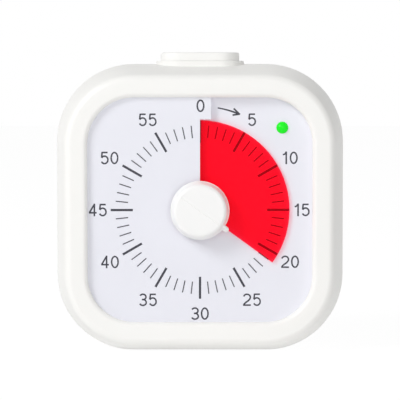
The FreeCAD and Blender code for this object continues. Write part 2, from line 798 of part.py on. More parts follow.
def switch_stop(side):
    """One of the two walls beside the sound switch's body."""
    middle = side * (SWITCH_BODY_HALF + SWITCH_STOP_GAP + SWITCH_STOP_SHEET / 2) - REAR_FEATURE_X
    return box(
        middle - SWITCH_STOP_SHEET / 2,
        middle + SWITCH_STOP_SHEET / 2,
        INSIDE_BACK_W + SWITCH_STOP_HEIGHT,
        INSIDE_BACK_W,
        REAR_FEATURE_Z - SWITCH_STOP_HEIGHT,
        REAR_FEATURE_Z + SWITCH_STOP_HEIGHT,
    )


def board_prop(side):
    """One of the two props under the button's board."""
    top = BOARD_TOP_Z - BOARD_SHEET
    x = side * PROP_X
    front = PARTING_W - PROP_SET_BACK
    return box(x - PROP_HALF, x + PROP_HALF, front, INSIDE_BACK_W, top - PROP_HEIGHT, top)


def grille():
    """Five round-ended slots in front of the buzzer."""
    cuts = []
    front = INSIDE_BACK_W + THROUGH
    back = BACK_W - THROUGH
    for row in range(-2, 3):
        half = GRILLE_HALF - abs(row) * GRILLE_SHORTER
        z = REAR_FEATURE_Z + row * GRILLE_PITCH
        low, high = z - GRILLE_SLOT_HALF, z + GRILLE_SLOT_HALF
        cuts.append(box(REAR_FEATURE_X - half, REAR_FEATURE_X + half, front, back, low, high))
        for end in (-half, half):
            cuts.append(rod(GRILLE_SLOT_HALF, REAR_FEATURE_X + end, z, front, back))
    return cuts[0].fuse(cuts[1:])


def switch_window():
    """The dished slot that the sound switch's thumb piece slides in."""
    half = SWITCH_TRAVEL + SLIDER_HALF + SLIDER_GAP
    back = BACK_W - THROUGH
    dish = rounded_block(
        half + DISH_SIDE,
        DISH_HALF_Z,
        DISH_CORNER,
        BACK_W + DISH_DEPTH,
        back,
        -REAR_FEATURE_X,
        REAR_FEATURE_Z,
    )
    slot = box(
        -REAR_FEATURE_X - half,
        -REAR_FEATURE_X + half,
        INSIDE_BACK_W + THROUGH / 2,
        back,
        REAR_FEATURE_Z - WINDOW_HALF_Z,
        REAR_FEATURE_Z + WINDOW_HALF_Z,
    )
    return dish.fuse(slot)


def dial_plate():
    """The dial: a ramp with a radial slit, a raised tab at 12 o'clock and four feet."""
    half_sheet = DIAL_SHEET / 2
    sheet = ramp_solid(
        DIAL_BORE,
        RAMP_REACH,
        0.0,
        360.0,
        RAMP_STEP_DEG,
        lambda a: ramp(a) - half_sheet,
        lambda a: ramp(a) + half_sheet,
    )
    half = DIAL_WIDTH / 2
    sheet = sheet.common(rounded_block(half, half, DIAL_CORNER, DIAL_SPAN_W, -DIAL_SPAN_W))
    tab_top = RAMP_PITCH + half_sheet
    edge_z = DIAL_Z + half
    tab = box(-TAB_ROOT, TAB_WIDTH, tab_top, -half_sheet, DIAL_Z + SLIT_RADIUS, edge_z)
    pocket = box(
        -TAB_ROOT,
        TAB_WIDTH - DIAL_SHEET,
        tab_top - DIAL_SHEET,
        -THROUGH,
        DIAL_Z + SLIT_RADIUS + DIAL_SHEET,
        edge_z - DIAL_SHEET,
    )
    plate = sheet.fuse(tab)
    plate = plate.cut(pocket)
    plate = plate.cut(box(-TAB_ROOT, 0.0, tab_top - DIAL_SHEET, -THROUGH, DIAL_Z + SLIT_RADIUS, edge_z))
    for angle, (x, z) in zip((225.0, 315.0, 135.0, 45.0), quarters(FOOT_PLACE, FOOT_PLACE)):
        foot = rod(FOOT_RADIUS, x, z, ramp(angle), BRACKET_FRONT_W)
        plate = plate.fuse(foot)
        plate = plate.cut(rod(SMALL_SCREW, x, z, ramp(angle) - FOOT_BORE_TOP, BRACKET_FRONT_W - THROUGH))
    for x, z in quarters(EAR_PLACE, EAR_PLACE):
        plate = plate.cut(rod(EAR_RADIUS + DIAL_GAP, x, z, DIAL_SPAN_W, -DIAL_SPAN_W))
    hole = rod(LENS_RADIUS + LENS_FIT, LAMP_OFFSET, DIAL_Z + LAMP_OFFSET, DIAL_SPAN_W, -DIAL_SPAN_W)
    return plate.cut(hole)


def shaft_section(radius, flat, front, back):
    """A D-shaped bar along the dial's axis, its flat turned to the pointer."""
    bar = rod(radius, 0.0, DIAL_Z, front, back)
    keep = box(-radius * 2, radius * 2, front, back, DIAL_Z - radius * 2, DIAL_Z + flat)
    keep.rotate(at(0.0, 0.0, DIAL_Z), V(0, 1, 0), REST_ANGLE)
    return bar.common(keep)


def time_disc():
    """The red film: nearly a full turn of ramp, part in front of the dial and part behind."""
    half_sheet = DISC_SHEET / 2
    start = REST_ANGLE - DISC_EXTENT_DEG
    film = ramp_solid(
        HUB_RADIUS - HUB_GRIP,
        DISC_RADIUS,
        start,
        REST_ANGLE,
        DISC_STEP_DEG,
        lambda a: ramp(a) + DISC_LIFT - half_sheet,
        lambda a: ramp(a) + DISC_LIFT + half_sheet,
    )
    return film.cut(rod(HUB_RADIUS, 0.0, DIAL_Z, DIAL_SPAN_W, -DIAL_SPAN_W))


def disc_hub():
    """The sleeve that carries the film and slides on the shaft."""
    sleeve = rod(HUB_RADIUS, 0.0, DIAL_Z, HUB_FRONT_W, HUB_BACK_W)
    front, back = HUB_FRONT_W + THROUGH, HUB_BACK_W - THROUGH
    bore = shaft_section(SHAFT_RADIUS + SLIDE_FIT, SHAFT_FLAT + SLIDE_FIT, front, back)
    return sleeve.cut(bore)


def setting_knob():
    """The round knob with its pointer nub, face groove and shaft socket."""
    step_w = KNOB_BACK_W + KNOB_FLANGE
    side_radius = KNOB_BASE_RADIUS - KNOB_STEP
    inside_front = KNOB_FRONT_W - KNOB_FACE_WALL
    nub_front = KNOB_BACK_W + NUB_HEIGHT
    profile = [
        (0.0, KNOB_BACK_W),
        (KNOB_BASE_RADIUS, KNOB_BACK_W),
        (KNOB_BASE_RADIUS, step_w - KNOB_STEP_BEVEL),
        (KNOB_BASE_RADIUS - KNOB_STEP_BEVEL, step_w),
        (side_radius, step_w),
        (KNOB_FACE_RADIUS, KNOB_FRONT_W),
        (0.0, KNOB_FRONT_W),
    ]
    corners = [at(r, w, DIAL_Z) for r, w in profile]
    face = Part.Face(Part.makePolygon(corners + corners[:1]))
    body = face.revolve(at(0.0, 0.0, DIAL_Z), V(0, 1, 0), 360)
    front_edges = [edge for edge in front_rim(body, KNOB_FRONT_W) if edge.Length > KNOB_BASE_RADIUS]
    body = body.makeFillet(KNOB_FACE_ROUND, front_edges)
    tip_z = DIAL_Z + NUB_REACH - NUB_WIDTH / 2
    root_z = DIAL_Z + KNOB_BASE_RADIUS - NUB_ROOT
    nub = box(-NUB_WIDTH / 2, NUB_WIDTH / 2, nub_front, KNOB_BACK_W, root_z, tip_z)
    nub = nub.fuse(rod(NUB_WIDTH / 2, 0.0, tip_z, nub_front, KNOB_BACK_W)).removeSplitter()
    nub = nub.makeFillet(NUB_ROUND, front_rim(nub, nub_front))
    nub.rotate(at(0.0, 0.0, DIAL_Z), V(0, 1, 0), REST_ANGLE)
    body = body.fuse(nub)
    body = body.cut(face_groove())
    hollow = rod(KNOB_BASE_RADIUS - KNOB_WALL, 0.0, DIAL_Z, inside_front, KNOB_BACK_W - THROUGH)
    hollow = hollow.cut(rod(KNOB_BOSS_RADIUS, 0.0, DIAL_Z, inside_front, KNOB_BACK_W + KNOB_BOSS_RELIEF))
    body = body.cut(hollow)
    return body.cut(shaft_section(SHAFT_RADIUS, SHAFT_FLAT, inside_front, KNOB_BACK_W - THROUGH))


def front_rim(body, front):
    """The edges that lie in a front plane."""
    return [edge for edge in body.Edges if edge.BoundBox.YMax < DIAL_Y - front + 1e-3]


def face_groove():
    """A shallow V groove across the knob's face, in line with the pointer."""
    half = GROOVE_WIDTH / 2
    low = DIAL_Z - KNOB_BASE_RADIUS
    corners = [
        at(-half, KNOB_FRONT_W + GROOVE_RISE, low),
        at(half, KNOB_FRONT_W + GROOVE_RISE, low),
        at(0.0, KNOB_FRONT_W - GROOVE_DEPTH, low),
    ]
    face = Part.Face(Part.makePolygon(corners + corners[:1]))
    groove = face.extrude(V(0, 0, 2 * KNOB_BASE_RADIUS))
    groove.rotate(at(0.0, 0.0, DIAL_Z), V(0, 1, 0), REST_ANGLE)
    return groove


def knob_shaft():
    """The shaft: a D section for knob and hub, a plain spindle inside the movement."""
    flat_end = HUB_BACK_W - SECTION_END
    front = shaft_section(SHAFT_RADIUS, SHAFT_FLAT, KNOB_FRONT_W - KNOB_FACE_WALL, flat_end)
    journal = rod(SHAFT_RADIUS, 0.0, DIAL_Z, flat_end, MAIN_W)
    spindle = rod(SPINDLE_RADIUS, 0.0, DIAL_Z, MAIN_W, MOVEMENT_BACK_W + SPINDLE_SHORT)
    return front.fuse([journal, spindle])


def movement_bracket():
    """The plate that carries the movement and is screwed to the case and the dial."""
    half = BRACKET_WIDTH / 2
    plate = rounded_block(half, half, BRACKET_CORNER, BRACKET_FRONT_W, BRACKET_BACK_W)
    behind = BRACKET_BACK_W - THROUGH
    for x, z in quarters(EAR_PLACE, EAR_PLACE):
        plate = plate.fuse(rod(EAR_RADIUS, x, z, EAR_FRONT_W, BRACKET_BACK_W))
    for x, z in quarters(PAD_PLACE, PAD_PLACE):
        plate = plate.fuse(rod(PAD_RADIUS, x, z, BRACKET_FRONT_W, BRACKET_BACK_W))
    for x, z in quarters(MOVEMENT_EAR_X, MOVEMENT_EAR_Z):
        plate = plate.fuse(rod(POST_RADIUS, x, z, BRACKET_BACK_W, MOVEMENT_EAR_W))
        plate = plate.cut(rod(SMALL_SCREW, x, z, BRACKET_BACK_W - POST_BORE, MOVEMENT_EAR_W - THROUGH))
    for x, z in quarters(EAR_PLACE, EAR_PLACE) + quarters(FOOT_PLACE, FOOT_PLACE):
        plate = plate.cut(rod(SMALL_CLEARANCE, x, z, THROUGH, behind))
    plate = plate.cut(rod(HUB_RADIUS + BRACKET_HOLE, 0.0, DIAL_Z, 0.0, behind))
    plate = plate.cut(rod(LENS_FLANGE + LENS_HOLE, LAMP_OFFSET, DIAL_Z + LAMP_OFFSET, 0.0, behind))
    for x, z in board_boss_places():
        plate = plate.fuse(rod(BOARD_BOSS_RADIUS, x, z, BRACKET_BACK_W, MAIN_BOARD_FRONT_W))
        bore = rod(SMALL_SCREW, x, z, BRACKET_BACK_W - BOSS_BORE_END, MAIN_BOARD_FRONT_W - THROUGH)
        plate = plate.cut(bore)
    windows = [(-LOW_WINDOW_HALF, LOW_WINDOW_HALF, LOW_WINDOW_TOP - LOW_WINDOW_HEIGHT, LOW_WINDOW_TOP)]
    for side in (-1, 1):
        ends = sorted((side * SIDE_WINDOW_NEAR, side * (SIDE_WINDOW_NEAR + SIDE_WINDOW_WIDTH)))
        windows.append((*ends, -SIDE_WINDOW_HALF, SIDE_WINDOW_HALF))
    for x0, x1, z0, z1 in windows:
        plate = plate.cut(box(x0, x1, 0.0, behind, DIAL_Z + z0, DIAL_Z + z1))
    return plate


def board_boss_places():
    """The two bosses that the main board is screwed to."""
    z = MAIN_BOARD_LOW_Z + BOARD_BOSS_RISE
    return [(side * (MAIN_BOARD_HALF - BOARD_BOSS_INSET), z) for side in (-1, 1)]


def gear_outline(teeth, x, z, phase, front, back):
    """A toothed disc. phase is the angle of one tooth's middle, from +X towards +Z."""
    pitch_radius = MODULE * teeth / 2
    root = pitch_radius - DEDENDUM
    tip = pitch_radius + ADDENDUM
    points = []
    for tooth in range(teeth):
        middle = math.radians(phase + 360.0 * tooth / teeth)
        for radius, half, sign in (
            (root, TOOTH_ROOT_HALF, -1),
            (tip, TOOTH_TIP_HALF, -1),
            (tip, TOOTH_TIP_HALF, 1),
            (root, TOOTH_ROOT_HALF, 1),
        ):
            angle = middle + sign * half / radius
            points.append((x + radius * math.cos(angle), z + radius * math.sin(angle)))
    return outline_prism(points, front, back)


def train_places():
    """Centres of the third wheel, fourth wheel and rotor, as (x, z)."""
    pinion = MODULE * PINION_TEETH / 2
    main = MODULE * MAIN_TEETH / 2
    wheel = MODULE * WHEEL_TEETH / 2
    places = [(0.0, DIAL_Z)]
    for reach, direction in (
        (main + pinion, THIRD_DIRECTION),
        (wheel + pinion, FOURTH_DIRECTION),
        (wheel + pinion, ROTOR_DIRECTION),
    ):
        x, z = places[-1]
        turn = math.radians(direction)
        places.append((x + reach * math.cos(turn), z + reach * math.sin(turn)))
    return places[1:]


def pinion_phase(direction):
    """Phase that puts a gap of a pinion opposite the wheel tooth that meets it."""
    return direction + 180.0 + 180.0 / PINION_TEETH


def arbor(x, z):
    """A turning arbor with a thin pivot at each end, between the movement's two plates."""
    front = MOVEMENT_FRONT_W - MOVEMENT_WALL
    back = MOVEMENT_BACK_W + MOVEMENT_WALL
    body = rod(ARBOR_RADIUS, x, z, front - END_FLOAT, back + END_FLOAT)
    pivots = rod(PIVOT_RADIUS, x, z, front + PIVOT_DEPTH - END_FLOAT, back - PIVOT_DEPTH + END_FLOAT)
    return body.fuse(pivots)


def train_wheel(place, pinion_direction, pinion_w, wheel_direction, wheel_w):
    """One moulded wheel: arbor, pinion and, where wheel_w is given, a toothed wheel."""
    x, z = place
    phase = pinion_phase(pinion_direction)
    body = arbor(x, z)
    body = body.fuse(gear_outline(
        PINION_TEETH,
        x,
        z,
        phase,
        pinion_w + PINION_MARGIN,
        pinion_w - GEAR_SHEET - PINION_MARGIN,
    ))
    if wheel_w is not None:
        wheel = gear_outline(WHEEL_TEETH, x, z, wheel_direction, wheel_w, wheel_w - GEAR_SHEET)
        body = body.fuse(wheel)
    return body


def main_wheel():
    """The wheel that the clutch presses to the shaft's shoulder."""
    wheel = gear_outline(MAIN_TEETH, 0.0, DIAL_Z, THIRD_DIRECTION, MAIN_W, MAIN_W - GEAR_SHEET)
    return wheel.cut(rod(SPINDLE_RADIUS, 0.0, DIAL_Z, 0.0, BACK_W))


def clutch_spring():
    """A dished washer that lets the knob be turned against the train."""
    back = MAIN_W - GEAR_SHEET
    profile = [
        (SPINDLE_RADIUS, back - CLUTCH_DISH - CLUTCH_SHEET),
        (SPINDLE_RADIUS, back - CLUTCH_DISH),
        (CLUTCH_RADIUS - CLUTCH_FLAT, back),
        (CLUTCH_RADIUS, back),
        (CLUTCH_RADIUS, back - CLUTCH_SHEET),
    ]
    corners = [at(r, w, DIAL_Z) for r, w in profile]
    face = Part.Face(Part.makePolygon(corners + corners[:1]))
    return face.revolve(at(0.0, 0.0, DIAL_Z), V(0, 1, 0), 360)


def retaining_ring():
    """The split ring that holds the clutch spring on the spindle."""
    front = MAIN_W - GEAR_SHEET - CLUTCH_DISH - CLUTCH_SHEET
    ring = rod(SPINDLE_RADIUS + RING_HEIGHT, 0.0, DIAL_Z, front, front - RING_SHEET)
    ring = ring.cut(rod(SPINDLE_RADIUS, 0.0, DIAL_Z, 0.0, BACK_W))
    return ring.cut(box(-RING_SPLIT / 2, RING_SPLIT / 2, 0.0, BACK_W, DIAL_Z, DIAL_Z + CODE_RADIUS))


def code_disc():
    """The disc on the spindle whose printed track tells the board that time is up."""
    disc = rod(CODE_RADIUS, 0.0, DIAL_Z, CODE_W, CODE_W - CODE_SHEET)
    return disc.cut(rod(SPINDLE_RADIUS, 0.0, DIAL_Z, 0.0, BACK_W))


def contact_wipers():
    """Two spring fingers that rest on the code disc."""
    front = CODE_W - CODE_SHEET
    back = front - WIPER_SHEET
    foot_x = WIPER_END_X - WIPER_FOOT
    fingers = []
    for low in (DIAL_Z - WIPER_HALF, DIAL_Z + WIPER_HALF - WIPER_WIDTH):
        fingers.append(box(WIPER_TIP_X, foot_x + THROUGH, front, back, low, low + WIPER_WIDTH))
    foot = box(foot_x, WIPER_END_X, front, back, DIAL_Z - WIPER_HALF, DIAL_Z + WIPER_HALF)
    return foot.fuse(fingers).removeSplitter()


def movement_base():
    """The rear tub of the movement with its bearings, ears and contact post."""
    half_x = MOVEMENT_WIDTH / 2
    half_z = MOVEMENT_HEIGHT / 2
    inside_front = MOVEMENT_FRONT_W - MOVEMENT_WALL
    tub = rounded_block(half_x, half_z, MOVEMENT_CORNER, inside_front, MOVEMENT_BACK_W)
    hollow = rounded_block(
        half_x - MOVEMENT_WALL,
        half_z - MOVEMENT_WALL,
        MOVEMENT_CORNER - MOVEMENT_WALL,
        inside_front,
        MOVEMENT_BACK_W + MOVEMENT_WALL,
    )
    tub = tub.cut(hollow)
    for x, z in quarters(MOVEMENT_EAR_X, MOVEMENT_EAR_Z):
        side = 1 if x > 0 else -1
        ear = rod(POST_RADIUS, x, z, MOVEMENT_EAR_W, MOVEMENT_EAR_BACK_W)
        ends = sorted((x, side * (half_x - MOVEMENT_WALL / 2)))
        bridge = box(*ends, MOVEMENT_EAR_W, MOVEMENT_EAR_BACK_W, z - POST_RADIUS, z + POST_RADIUS)
        tub = tub.fuse([ear, bridge])
        tub = tub.cut(rod(SMALL_CLEARANCE, x, z, 0.0, BACK_W))
    wiper_back = CODE_W - CODE_SHEET - WIPER_SHEET
    floor_root = MOVEMENT_BACK_W + MOVEMENT_WALL / 2
    low, high = DIAL_Z - WIPER_HALF, DIAL_Z + WIPER_HALF
    tub = tub.fuse(box(WIPER_END_X - WIPER_FOOT, WIPER_END_X, wiper_back, floor_root, low, high))
    stator_back = STATOR_W - STATOR_SHEET
    x0, x1, z0, z1 = stator_bounds()
    for x in (x0 + STATOR_PIN_INSET, x1 - STATOR_PIN_INSET):
        tub = tub.fuse(rod(STATOR_PIN_RADIUS, x, z1 - STATOR_PIN_INSET, stator_back, floor_root))
    floor = MOVEMENT_BACK_W + MOVEMENT_WALL
    for x, z in train_places():
        tub = tub.cut(rod(PIVOT_RADIUS + PIVOT_FIT, x, z, floor + ROOT, floor - PIVOT_DEPTH - END_FLOAT))
    tub = tub.cut(rod(SPINDLE_RADIUS + PIVOT_FIT, 0.0, DIAL_Z, floor + ROOT, MOVEMENT_BACK_W - THROUGH))
    return tub


def movement_cover():
    """The front lid of the movement, clamped against the bracket."""
    half_x = MOVEMENT_WIDTH / 2
    half_z = MOVEMENT_HEIGHT / 2
    inside_front = MOVEMENT_FRONT_W - MOVEMENT_WALL
    lid = rounded_block(half_x, half_z, MOVEMENT_CORNER, MOVEMENT_FRONT_W, inside_front)
    for x, z in train_places():
        pivot_end = inside_front + PIVOT_DEPTH + END_FLOAT
        lid = lid.cut(rod(PIVOT_RADIUS + PIVOT_FIT, x, z, pivot_end, inside_front - ROOT))
    return lid.cut(rod(SHAFT_RADIUS + PIVOT_FIT, 0.0, DIAL_Z, 0.0, BACK_W))


def stator_bounds():
    """Left, right, bottom and top of the stator plate."""
    x, z = train_places()[2]
    left = x - STATOR_WIDTH / 2 + STATOR_SHIFT
    return left, left + STATOR_WIDTH, z - STATOR_LOW, z + CORE_OFFSET + CORE_HEIGHT / 2


def stator():
    """The iron frame round the rotor, with the coil's core across its top."""
    x, z = train_places()[2]
    x0, x1, z0, z1 = stator_bounds()
    back = STATOR_W - STATOR_SHEET
    plate = box(x0, x1, STATOR_W, back, z0, z1)
    above, below = STATOR_W + THROUGH, back - THROUGH
    plate = plate.cut(box(x0 + STATOR_LEG, x1 - STATOR_LEG, above, below, z + WINDOW_LOW, z1 - CORE_HEIGHT))
    plate = plate.cut(rod(STATOR_BORE, x, z, above, below))
    for side in (x0 + STATOR_PIN_INSET, x1 - STATOR_PIN_INSET):
        plate = plate.cut(rod(STATOR_PIN_HOLE, side, z1 - STATOR_PIN_INSET, above, below))
    return plate


def coil():
    """The motor's winding, on the core between its two flanges."""
    x0, x1, z0, z1 = stator_bounds()
    middle = STATOR_W - STATOR_SHEET / 2
    core_z = z1 - CORE_HEIGHT / 2
    start = x0 + STATOR_LEG + BOBBIN_FLANGE
    length = STATOR_WIDTH - 2 * (STATOR_LEG + BOBBIN_FLANGE)
    winding = Part.makeCylinder(COIL_RADIUS, length, at(start, middle, core_z), V(1, 0, 0))
    return winding.cut(bobbin_tube())


def bobbin_tube():
    """The square tube that the wire is wound on."""
    x0, x1, z0, z1 = stator_bounds()
    middle = STATOR_W - STATOR_SHEET / 2
    core_z = z1 - CORE_HEIGHT / 2
    half_z = CORE_HEIGHT / 2 + BOBBIN_WALL_Z
    half_w = STATOR_SHEET / 2 + BOBBIN_WALL_W
    ends = (x0 + STATOR_LEG, x1 - STATOR_LEG)
    return box(*ends, middle + half_w, middle - half_w, core_z - half_z, core_z + half_z)


def coil_bobbin():
    """The plastic bobbin with a flange at each end."""
    x0, x1, z0, z1 = stator_bounds()
    middle = STATOR_W - STATOR_SHEET / 2
    core_z = z1 - CORE_HEIGHT / 2
    body = bobbin_tube()
    radius = COIL_RADIUS + BOBBIN_FLANGE_RISE
    for start in (x0 + STATOR_LEG, x1 - STATOR_LEG - BOBBIN_FLANGE):
        body = body.fuse(Part.makeCylinder(radius, BOBBIN_FLANGE, at(start, middle, core_z), V(1, 0, 0)))
    core = box(x0, x1, STATOR_W, STATOR_W - STATOR_SHEET, z1 - CORE_HEIGHT, z1)
    return body.cut(core)


def rotor_pinion():
    """The rotor's arbor and pinion."""
    return train_wheel(train_places()[2], ROTOR_DIRECTION, FOURTH_W, None, None).cut(magnet_blank())


def magnet_blank():
    """The space that the rotor's magnet fills."""
    x, z = train_places()[2]
    middle = STATOR_W - STATOR_SHEET / 2
    ring = rod(MAGNET_RADIUS, x, z, middle + MAGNET_HEIGHT / 2, middle - MAGNET_HEIGHT / 2)
    return ring.cut(rod(ARBOR_RADIUS, x, z, 0.0, BACK_W))


def screws(places, seat, tip, shank, head, head_height):
    """Like screws, driven from behind: head behind the seat, shank forward to the tip."""
    bodies = []
    for x, z in places:
        body = rod(shank, x, z, tip, seat).fuse(rod(head, x, z, seat, seat - head_height))
        top = seat - head_height
        slot = box(x - head, x + head, top + DRIVE_DEPTH, top - THROUGH, z - DRIVE_HALF, z + DRIVE_HALF)
        cross = box(x - DRIVE_HALF, x + DRIVE_HALF, top + DRIVE_DEPTH, top - THROUGH, z - head, z + head)
        core = rod(head * DRIVE_SHARE, x, z, seat, top - 2 * THROUGH)
        bodies.append(body.cut(slot.fuse(cross).common(core)))
    return Part.makeCompound(bodies)


def bracket_screws():
    """Four screws through the bracket's ears into the front shell."""
    return screws(
        quarters(EAR_PLACE, EAR_PLACE),
        BRACKET_BACK_W,
        EAR_FRONT_W + EAR_BORE - SMALL_REACH,
        SMALL_SCREW,
        SMALL_HEAD,
        SMALL_HEAD_HEIGHT,
    )


def dial_screws():
    """Four screws through the bracket into the dial's feet."""
    tip = BRACKET_FRONT_W + FOOT_SCREW_REACH
    return screws(
        quarters(FOOT_PLACE, FOOT_PLACE),
        BRACKET_BACK_W,
        tip,
        SMALL_SCREW,
        SMALL_HEAD,
        SMALL_HEAD_HEIGHT,
    )


def movement_screws():
    """Four screws through the movement's ears into the bracket's posts."""
    return screws(
        quarters(MOVEMENT_EAR_X, MOVEMENT_EAR_Z),
        MOVEMENT_EAR_BACK_W,
        MOVEMENT_EAR_W + POST_SCREW_REACH,
        SMALL_SCREW,
        SMALL_HEAD,
        SMALL_HEAD_HEIGHT,
    )


def case_screws():
    """Four long screws that close the two shells from behind."""
    seat = BACK_W + HEAD_RECESS_DEPTH
    return screws(
        quarters(SCREW_X, SCREW_Z),
        seat,
        PARTING_W + CASE_SCREW_BORE - CASE_SCREW_END_GAP,
        CASE_SCREW,
        CASE_SCREW_HEAD,
        CASE_SCREW_HEAD_HEIGHT,
    )


def circuit_board():
    """The board above the movement."""
    board = box(
        -MAIN_BOARD_HALF,
        MAIN_BOARD_HALF,
        MAIN_BOARD_FRONT_W,
        MAIN_BOARD_BACK_W,
        MAIN_BOARD_LOW_Z,
        MAIN_BOARD_TOP_Z,
    )
    for x, z in board_boss_places():
        board = board.cut(rod(SMALL_CLEARANCE, x, z, 0.0, BACK_W))
    return board


def board_screws():
    """Two screws that hold the circuit board to the bracket's posts."""
    tip = MAIN_BOARD_BACK_W + BOARD_SCREW_LENGTH
    return screws(board_boss_places(), MAIN_BOARD_BACK_W, tip, SMALL_SCREW, SMALL_HEAD, SMALL_HEAD_HEIGHT)


def timer_chip():
    """The flat control chip with four legs a side, behind the board."""
    body = box(
        CHIP_X - CHIP_HALF_X,
        CHIP_X + CHIP_HALF_X,
        MAIN_BOARD_BACK_W - CHIP_LIFT,
        MAIN_BOARD_BACK_W - CHIP_HEIGHT,
        CHIP_Z - CHIP_HALF_Z,
        CHIP_Z + CHIP_HALF_Z,
    )
    for leg in range(CHIP_LEGS):
        x = CHIP_X - CHIP_LEG_START + CHIP_LEG_PITCH * leg
        body = body.fuse(box(
            x - CHIP_LEG_HALF,
            x + CHIP_LEG_HALF,
            MAIN_BOARD_BACK_W,
            MAIN_BOARD_BACK_W - CHIP_LEG_HEIGHT,
            CHIP_Z - CHIP_LEG_REACH,
            CHIP_Z + CHIP_LEG_REACH,
        ))
    return body


def quartz_crystal():
    """The can that holds the watch crystal."""
    end = at(CRYSTAL_X, MAIN_BOARD_BACK_W - CRYSTAL_RADIUS, CHIP_Z)
    return Part.makeCylinder(CRYSTAL_RADIUS, CRYSTAL_LENGTH, end, V(1, 0, 0))


def board_capacitor():
    """The round can that steadies the supply."""
    back = MAIN_BOARD_BACK_W - CAPACITOR_HEIGHT
    z = MAIN_BOARD_MIDDLE_Z + CAPACITOR_RISE
    return rod(CAPACITOR_RADIUS, CAPACITOR_X, z, MAIN_BOARD_BACK_W, back)


def lamp():
    """The green lamp with its leads, standing on the board."""
    z = DIAL_Z + LAMP_OFFSET
    body = rod(LAMP_RADIUS, LAMP_OFFSET, z, LAMP_DOME_W, LAMP_BACK_W)
    dome = Part.makeSphere(LAMP_RADIUS, at(LAMP_OFFSET, LAMP_DOME_W, z))
    flange = rod(LAMP_FLANGE_RADIUS, LAMP_OFFSET, z, LAMP_BACK_W + LAMP_FLANGE_SHEET, LAMP_BACK_W)
    legs = []
    for side in (-1, 1):
        legs.append(rod(LEG_RADIUS, LAMP_OFFSET + side * LEG_PLACE, z, LAMP_BACK_W, MAIN_BOARD_FRONT_W))
    return body.fuse([dome, flange] + legs)


def indicator_lens():
    """The green window in the dial, held by a flange behind it."""
    z = DIAL_Z + LAMP_OFFSET
    flange_front = ramp(LENS_DIAL_ANGLE) - DIAL_SHEET / 2 - LENS_SEAT_GAP
    flange_back = flange_front - LENS_FLANGE_SHEET
    flange = rod(LENS_FLANGE, LAMP_OFFSET, z, flange_front, flange_back)
    barrel = rod(LENS_RADIUS, LAMP_OFFSET, z, LENS_SHOULDER_W, flange_back)
    drop = math.sqrt(LENS_DOME_RADIUS ** 2 - LENS_RADIUS ** 2)
    dome = Part.makeSphere(LENS_DOME_RADIUS, at(LAMP_OFFSET, LENS_SHOULDER_W - drop, z))
    dome = dome.common(rod(LENS_RADIUS, LAMP_OFFSET, z, LENS_SHOULDER_W + 2 * LENS_RADIUS, LENS_SHOULDER_W))
    return barrel.fuse([flange, dome])


def button_travel_stop():
    """Height of the button stem's end at rest, above the switch plunger."""
    return BOARD_TOP_Z + SWITCH_BODY + PLUNGER_HEIGHT + BUTTON_TRAVEL + PLUNGER_GAP


def top_button():
    """The long button, hollow below, with a stem, two spring seats and a stop flange."""
    top = CASE_TOP_Z + COLLAR_RISE + BUTTON_RISE
    flange_top = COLLAR_BOTTOM_Z - STOP_GAP
    flange_low = flange_top - BUTTON_FLANGE
    cap = stadium(BUTTON_LENGTH, BUTTON_WIDTH, flange_low, top)
    rim = [edge for edge in cap.Edges if edge.BoundBox.ZMin > top - 1e-3]
    cap = cap.makeFillet(BUTTON_ROUND, rim)
    reach = 2 * FLANGE_REACH
    flange = stadium(BUTTON_LENGTH + reach, BUTTON_WIDTH + reach, flange_low, flange_top)
    cap = cap.fuse(flange)
    hollow = stadium(
        BUTTON_LENGTH - 2 * BUTTON_WALL,
        BUTTON_WIDTH - 2 * BUTTON_WALL,
        flange_low - THROUGH,
        top - BUTTON_WALL,
    )
    cap = cap.cut(hollow)
    stem = post(STEM_RADIUS, 0.0, PARTING_W, button_travel_stop(), top - BUTTON_WALL)
    seats = []
    for side in (-1, 1):
        seats.append(post(SPRING_SEAT, side * SPRING_PLACE, PARTING_W, flange_low, top - BUTTON_WALL))
    return cap.fuse([stem] + seats)


def button_springs():
    """The two coil springs that lift the button."""
    flange_low = COLLAR_BOTTOM_Z - STOP_GAP - BUTTON_FLANGE
    length = flange_low - BOARD_TOP_Z
    radii = (SPRING_COIL, SPRING_COIL)
    springs = []
    for side in (-1, 1):
        foot = at(side * SPRING_PLACE, PARTING_W, BOARD_TOP_Z)
        spring = coil_tube(foot, V(0, 0, 1), V(1, 0, 0), radii, SPRING_TURNS, length, SPRING_WIRE, 10, WIRE_SIDES)
        springs.append(spring)
    return Part.makeCompound(springs)


def button_board():
    """The small board below the button."""
    half = HANGER_X + BUTTON_BOARD_EDGE
    front, back = PARTING_W + BUTTON_BOARD_FRONT, PARTING_W - BUTTON_BOARD_BACK
    bottom = BOARD_TOP_Z - BOARD_SHEET
    board = box(-half, half, front, back, bottom, BOARD_TOP_Z)
    for side in (-1, 1):
        hole = post(SMALL_CLEARANCE, side * HANGER_X, HANGER_W, bottom - THROUGH, BOARD_TOP_Z + THROUGH)
        board = board.cut(hole)
    return board


def button_board_screws():
    """Two screws from below that hold the button's board to the front shell."""
    bottom = BOARD_TOP_Z - BOARD_SHEET
    bodies = []
    for side in (-1, 1):
        x = side * HANGER_X
        shank = post(SMALL_SCREW, x, HANGER_W, bottom, BOARD_TOP_Z + HANGER_BORE - SMALL_REACH)
        head = post(SMALL_HEAD, x, HANGER_W, bottom - SMALL_HEAD_HEIGHT, bottom)
        bodies.append(shank.fuse(head))
    return Part.makeCompound(bodies)


